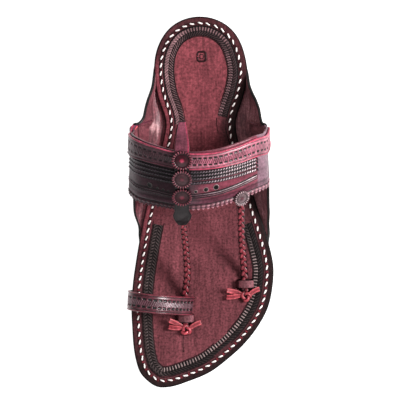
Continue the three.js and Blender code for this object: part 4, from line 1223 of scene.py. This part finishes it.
def makeRosette(disc):
    foot, up, side, other = discFrame(disc["on"], disc["u"], disc["v"], disc["lift"], [0, 1, 0])
    count = rosette["teeth"] * rosette["samples"]
    turn = np.arange(count) / count * math.tau
    tooth = 0.5 + 0.5 * np.cos(turn * rosette["teeth"])

    def ringAt(r, height):
        outer = r * disc["radius"] - rosette["tooth"] * (1 - tooth) * smooth(r, 0.8, 1.0)
        across = side * (outer * np.cos(turn))[:, None] + other * (outer * np.sin(turn))[:, None]
        return foot + across + up * height[:, None]

    points, colours = [], []
    for r in np.concatenate([np.linspace(0.03, 0.6, 8), np.linspace(0.64, 0.98, 9), [1.0]]):
        rib = smooth(r, 0.7, 0.8) * (1 - smooth(r, 0.98, 1.0)) * tooth
        gap = smooth(r, 0.7, 0.8) * (1 - smooth(r, 0.98, 1.0)) * (1 - tooth)
        groove = hump(r, rosette["grooveAt"], 0.05)
        height = rosette["wall"] * 0.62 + 0.4 * (1 - smooth(r, 0.0, 0.6)) - 0.2 * groove
        height = height + 0.65 * rib + 0.2 * gap - 0.45 * (r > 0.985)
        points.append(ringAt(r, height))
        tone = mix(paint["rosette"], paint["rosetteGrey"], disc["grey"] * 0.7)
        tone = mix(tone, paint["rosetteRay"], disc["grey"] * smooth(r, 0.15, 0.4) * tooth * 0.6)
        tone = mix(tone, mix(paint["rosetteTick"], paint["tickGrey"], disc["grey"]), rib)
        tone = mix(tone, paint["ink"], gap * 0.9 + 0.6 * groove)
        colours.append(mix(tone, paint["piping"], disc["heart"] * 0.8 * (1 - smooth(r, 0.05, 0.3))))
    points.append(ringAt(1.0, np.zeros(count)))
    colours.append(np.broadcast_to(paint["ink"], (count, 3)))
    faces = ringFaces(len(points), count)
    points = np.concatenate(points)
    return points, outward(points, faces), np.concatenate(colours)


for name, disc in discs.items():
    makePiece(name + "_leather", [makeRosette(disc)], hides["bandHide"], name)
print("band trimmings made")

# Braided cords: three flat strands that cross, along given routes: across, along, over the insole.
cord = {"wide": 5.5, "flat": 0.72, "pitch": 5.1, "strand": 1.38, "sides": 10}
toeRoute = [
    (12.9, 145.8, 47.2), (12.5, 150, 44), (12.2, 155, 39.8), (11.6, 160.5, 34.6), (10.9, 166.5, 29.2),
    (10.3, 173.5, 23.6), (9.8, 181, 18.2), (9.4, 188.5, 13.2), (9.7, 196, 8.6), (10.7, 203, 4.6),
    (11.5, 209, 2.2), (11.6, 217, 1.55), (11.2, 229.2, 1.55),
]
sideRoute = [
    (-30.2, 132, 37), (-30.2, 138, 35.3), (-30.3, 145, 32.4), (-30.4, 152, 28.4), (-30.6, 159, 23.6),
    (-30.9, 166, 18.4), (-31.5, 173.5, 13), (-32.1, 181, 8), (-32.7, 188, 4), (-33.2, 194, 1.9),
    (-33.6, 204, 1.55),
]


def braidParts(route):
    controls = np.array([place(x, y, footbed(y) + up) for x, y, up in route])
    fine = spline(controls, np.linspace(0, 1, 800))
    length = arcOf(fine)
    s = np.linspace(0, length[-1], int(length[-1] / 0.5))
    centre = np.stack([np.interp(s, length, fine[:, k]) for k in range(3)], axis=1)
    run = np.gradient(centre, axis=0)
    run = run / np.linalg.norm(run, axis=1, keepdims=True)
    across = np.array([1.0, 0, 0]) - run[:, :1] * run
    across = across / np.linalg.norm(across, axis=1, keepdims=True)
    up = np.cross(across, run)
    up = up * np.sign(up[:, 2:3])
    flat = 1 - (1 - cord["flat"]) * smooth(s / s[-1], 0.7, 0.86)
    taper = smooth(s, 0, 2.5) * 0.25 + 0.75
    lean = np.cos(np.arange(cord["sides"]) / cord["sides"] * math.tau)[None]
    parts = []
    for strand in range(3):
        phase = math.tau * (s / (cord["pitch"] * 3) + strand / 3)
        off = (cord["wide"] / 2 - cord["strand"]) * np.sin(phase) * 1.05
        high = 0.62 * np.sin(2 * phase) * flat
        way = centre + across * (off * taper)[:, None] + up * high[:, None]
        # Painted shade: each strand is darker where it dips under the others, and its flanks, where the
        # strands meet, darken to ink.
        tint = mix(paint["braidDark"], paint["braid"], smooth(np.sin(2 * phase), -0.2, 0.75))
        around = mix(tint[:, None], paint["ink"], 0.95 * np.abs(lean) ** 3)
        parts.append(tubePart(way, up, cord["strand"] * taper, 0.98 * flat, cord["sides"], around))
    return parts, float(length[-1])


for name, route in (("toe_cord", toeRoute), ("side_cord", sideRoute)):
    parts, length = braidParts(route)
    makePiece(name + "_braid", parts, hides["braid"], name)
    print(name, "runs", round(length, 1), "mm")

# Knots: a coil of strand with rolled tails.
knots = {
    "toe_knot": {"at": (10.4, 232.4), "turn": 0.3,
                 "tails": [(22.6, 224.6, 6.2), (23.1, 229.4, 3.4), (-0.8, 226.9, 3.6)]},
    "side_knot": {"at": (-34.0, 207.5), "turn": 1.1,
                  "tails": [(-20.0, 202.4, 4.8), (-19.6, 207.4, 2.8), (-44.2, 202.0, 3.6)]},
}
knotSize = {
    "radius": 2.55, "swing": 0.75, "strand": 1.3, "strandFlat": 0.95, "sides": 10, "high": 1.9,
    "tailWide": 1.95, "tailTall": 0.62, "tailSides": 16,
}


def tailPart(centre, tip, k):
    x, y, high = tip
    s = np.linspace(0, 1, 26)
    way = place(x, y, footbed(y) + high) - centre
    bow = np.sin(math.pi * s) * (0.8 if k else -0.5) - 0.4
    path = centre + s[:, None] * way + bow[:, None] * upward
    across = np.cross(way, upward)
    path = path + across / np.linalg.norm(across) * (0.7 * np.sin(s * 4 + k))[:, None]
    wide = knotSize["tailWide"] * (0.62 + 0.38 * smooth(s, 0.1, 0.5)) * (1 - 0.15 * smooth(s, 0.96, 1.0))
    roll = upward + np.stack([0.5 * np.sin(3 * s + k), 0.4 * np.cos(2 * s), 0 * s], axis=1)
    turn = np.arange(knotSize["tailSides"]) / knotSize["tailSides"] * math.tau
    side = np.abs(np.cos(turn))
    tint = mix(paint["braidDark"], paint["knot"], smooth(s, 0.05, 0.4))[:, None] * 0.75
    tint = mix(tint, paint["knotEdge"], smooth(side, 0.5, 0.75) * smooth(s, 0.2, 0.5)[:, None] * 0.8)
    tint = mix(tint, paint["ink"], smooth(side, 0.86, 0.99))
    crease = 1 - 0.28 * hump(turn, math.pi / 2, 0.5)
    return tubePart(path, roll, wide, knotSize["tailTall"], knotSize["tailSides"], tint, crease)


def knotParts(knot):
    x, y = knot["at"]
    centre = place(x, y, footbed(y + 4.2) + fit + knotSize["high"])
    t = np.linspace(0, math.tau, 121)[:-1] * 0.985
    reach = knotSize["radius"] + knotSize["swing"] * np.cos(3 * t)
    turn = 2 * t + knot["turn"]
    coil = np.stack([reach * np.cos(turn), reach * np.sin(turn), 0.85 * np.sin(3 * t)], axis=1) + centre
    up = upward + (coil - centre) * 0.25
    # Painted shade: the coil is darker where it dips low, and its strand's flanks darken to ink.
    tint = mix(paint["braidDark"], paint["knot"], smooth(coil[:, 2] - centre[2], -0.8, 0.6))
    sides = knotSize["sides"]
    lean = np.abs(np.cos(np.arange(sides) / sides * math.tau))[None] ** 5
    tint = mix(tint[:, None], paint["ink"], 0.6 * lean)
    parts = [tubePart(coil, up, knotSize["strand"], knotSize["strandFlat"], sides, tint)]
    return parts + [tailPart(centre, tip, k) for k, tip in enumerate(knot["tails"])]


for name, knot in knots.items():
    makePiece(name + "_leather", knotParts(knot), hides["braid"], name)
print("cords and knots made")


# Stitches along the flaps' top edges, and the loose thread ends at the inner flap's front corner.
seamStitch = {
    "inner": (0.30, 0.445), "outer": (0.30, 0.45), "count": 9, "high": 0.83, "half": 0.45, "rise": 0.25,
    "reach": 0.0055, "looseAt": (0.45, 0.95, 1.2), "loose": [(2.6, 5.0, 1.6), (1.2, 6.2, -0.8)],
}


def flapStitches():
    parts = []
    for side, surface in flaps.items():
        high, reach = seamStitch["high"], seamStitch["reach"]
        for at in np.linspace(*seamStitch[side], seamStitch["count"]):
            a, b = [spotOn(surface, at + way, high, flap["wall"] / 2 + 0.1) for way in (-reach, reach)]
            up = spotOn(surface, at, high, 2.0) - spotOn(surface, at, high, 1.0)
            points, faces, colours = threadPart(a, b, up, seamStitch["half"], seamStitch["rise"])
            parts.append((points, faces, np.broadcast_to(paint["ink"] * 2.2, colours.shape)))
    foot = spotOn(flaps["inner"], *seamStitch["looseAt"])
    for dx, dy, dz in seamStitch["loose"]:
        t = np.linspace(0, 1, 12)
        path = foot + np.stack([dx * t, dy * t, dz * t + 1.2 * np.sin(math.pi * t)], axis=1)
        parts.append(tubePart(path, upward, 0.32, 0.32, 6, paint["thread"]))
    return parts


makePiece("flap_stitches", flapStitches(), hides["thread"], None)

# Plain pale floor and soft studio light, the key from the outer side.
stage = {
    "floor": (0.42, 0.42, 0.42), "floorSize": 4.0, "floorLow": 0.0004, "glow": 0.78, "world": 0.18,
    "lights": {  # power, size and position
        "keyLight": (30, 0.5, (-1.15, -0.1, 0.95)), "fillLight": (2.5, 0.9, (1.1, 0.3, 0.9)),
        "heelLight": (5, 0.8, (0, -1.25, 0.9)), "toeLight": (5, 0.8, (0, 1.25, 0.9)),
    },
}


def makeFloor():
    mesh = bpy.data.meshes.new("floor")
    size, low = stage["floorSize"], -stage["floorLow"]
    corners = [(-size, -size, low), (size, -size, low), (size, size, low), (-size, size, low)]
    mesh.from_pydata(corners, [], [(0, 1, 2, 3)])
    floor = bpy.data.objects.new("floor", mesh)
    bpy.context.scene.collection.objects.link(floor)
    material = bpy.data.materials.new("floorPaint")
    material.use_nodes = True
    shader = material.node_tree.nodes["Principled BSDF"]
    shader.inputs["Base Color"].default_value = stage["floor"] + (1,)
    shader.inputs["Roughness"].default_value = 0.9
    shader.inputs["Emission Color"].default_value = (1, 1, 1, 1)
    shader.inputs["Emission Strength"].default_value = stage["glow"]
    mesh.materials.append(material)


def makeLight(name, power, size, position):
    light = bpy.data.lights.new(name, "AREA")
    light.energy = power
    light.size = size
    lamp = bpy.data.objects.new(name, light)
    lamp.location = position
    away = -np.array(position) / np.linalg.norm(position)
    lamp.rotation_euler = (math.acos(-away[2]), 0, math.atan2(away[0], -away[1]) + math.pi)
    bpy.context.scene.collection.objects.link(lamp)


makeFloor()
for name, light in stage["lights"].items():
    makeLight(name, *light)
world = bpy.data.worlds.new("studio")
world.use_nodes = True
world.node_tree.nodes["Background"].inputs["Color"].default_value = (1, 1, 1, 1)
world.node_tree.nodes["Background"].inputs["Strength"].default_value = stage["world"]
bpy.context.scene.world = world
bpy.context.scene.view_settings.view_transform = "Standard"
bpy.context.scene.view_settings.look = "Medium High Contrast"
print("stage set")
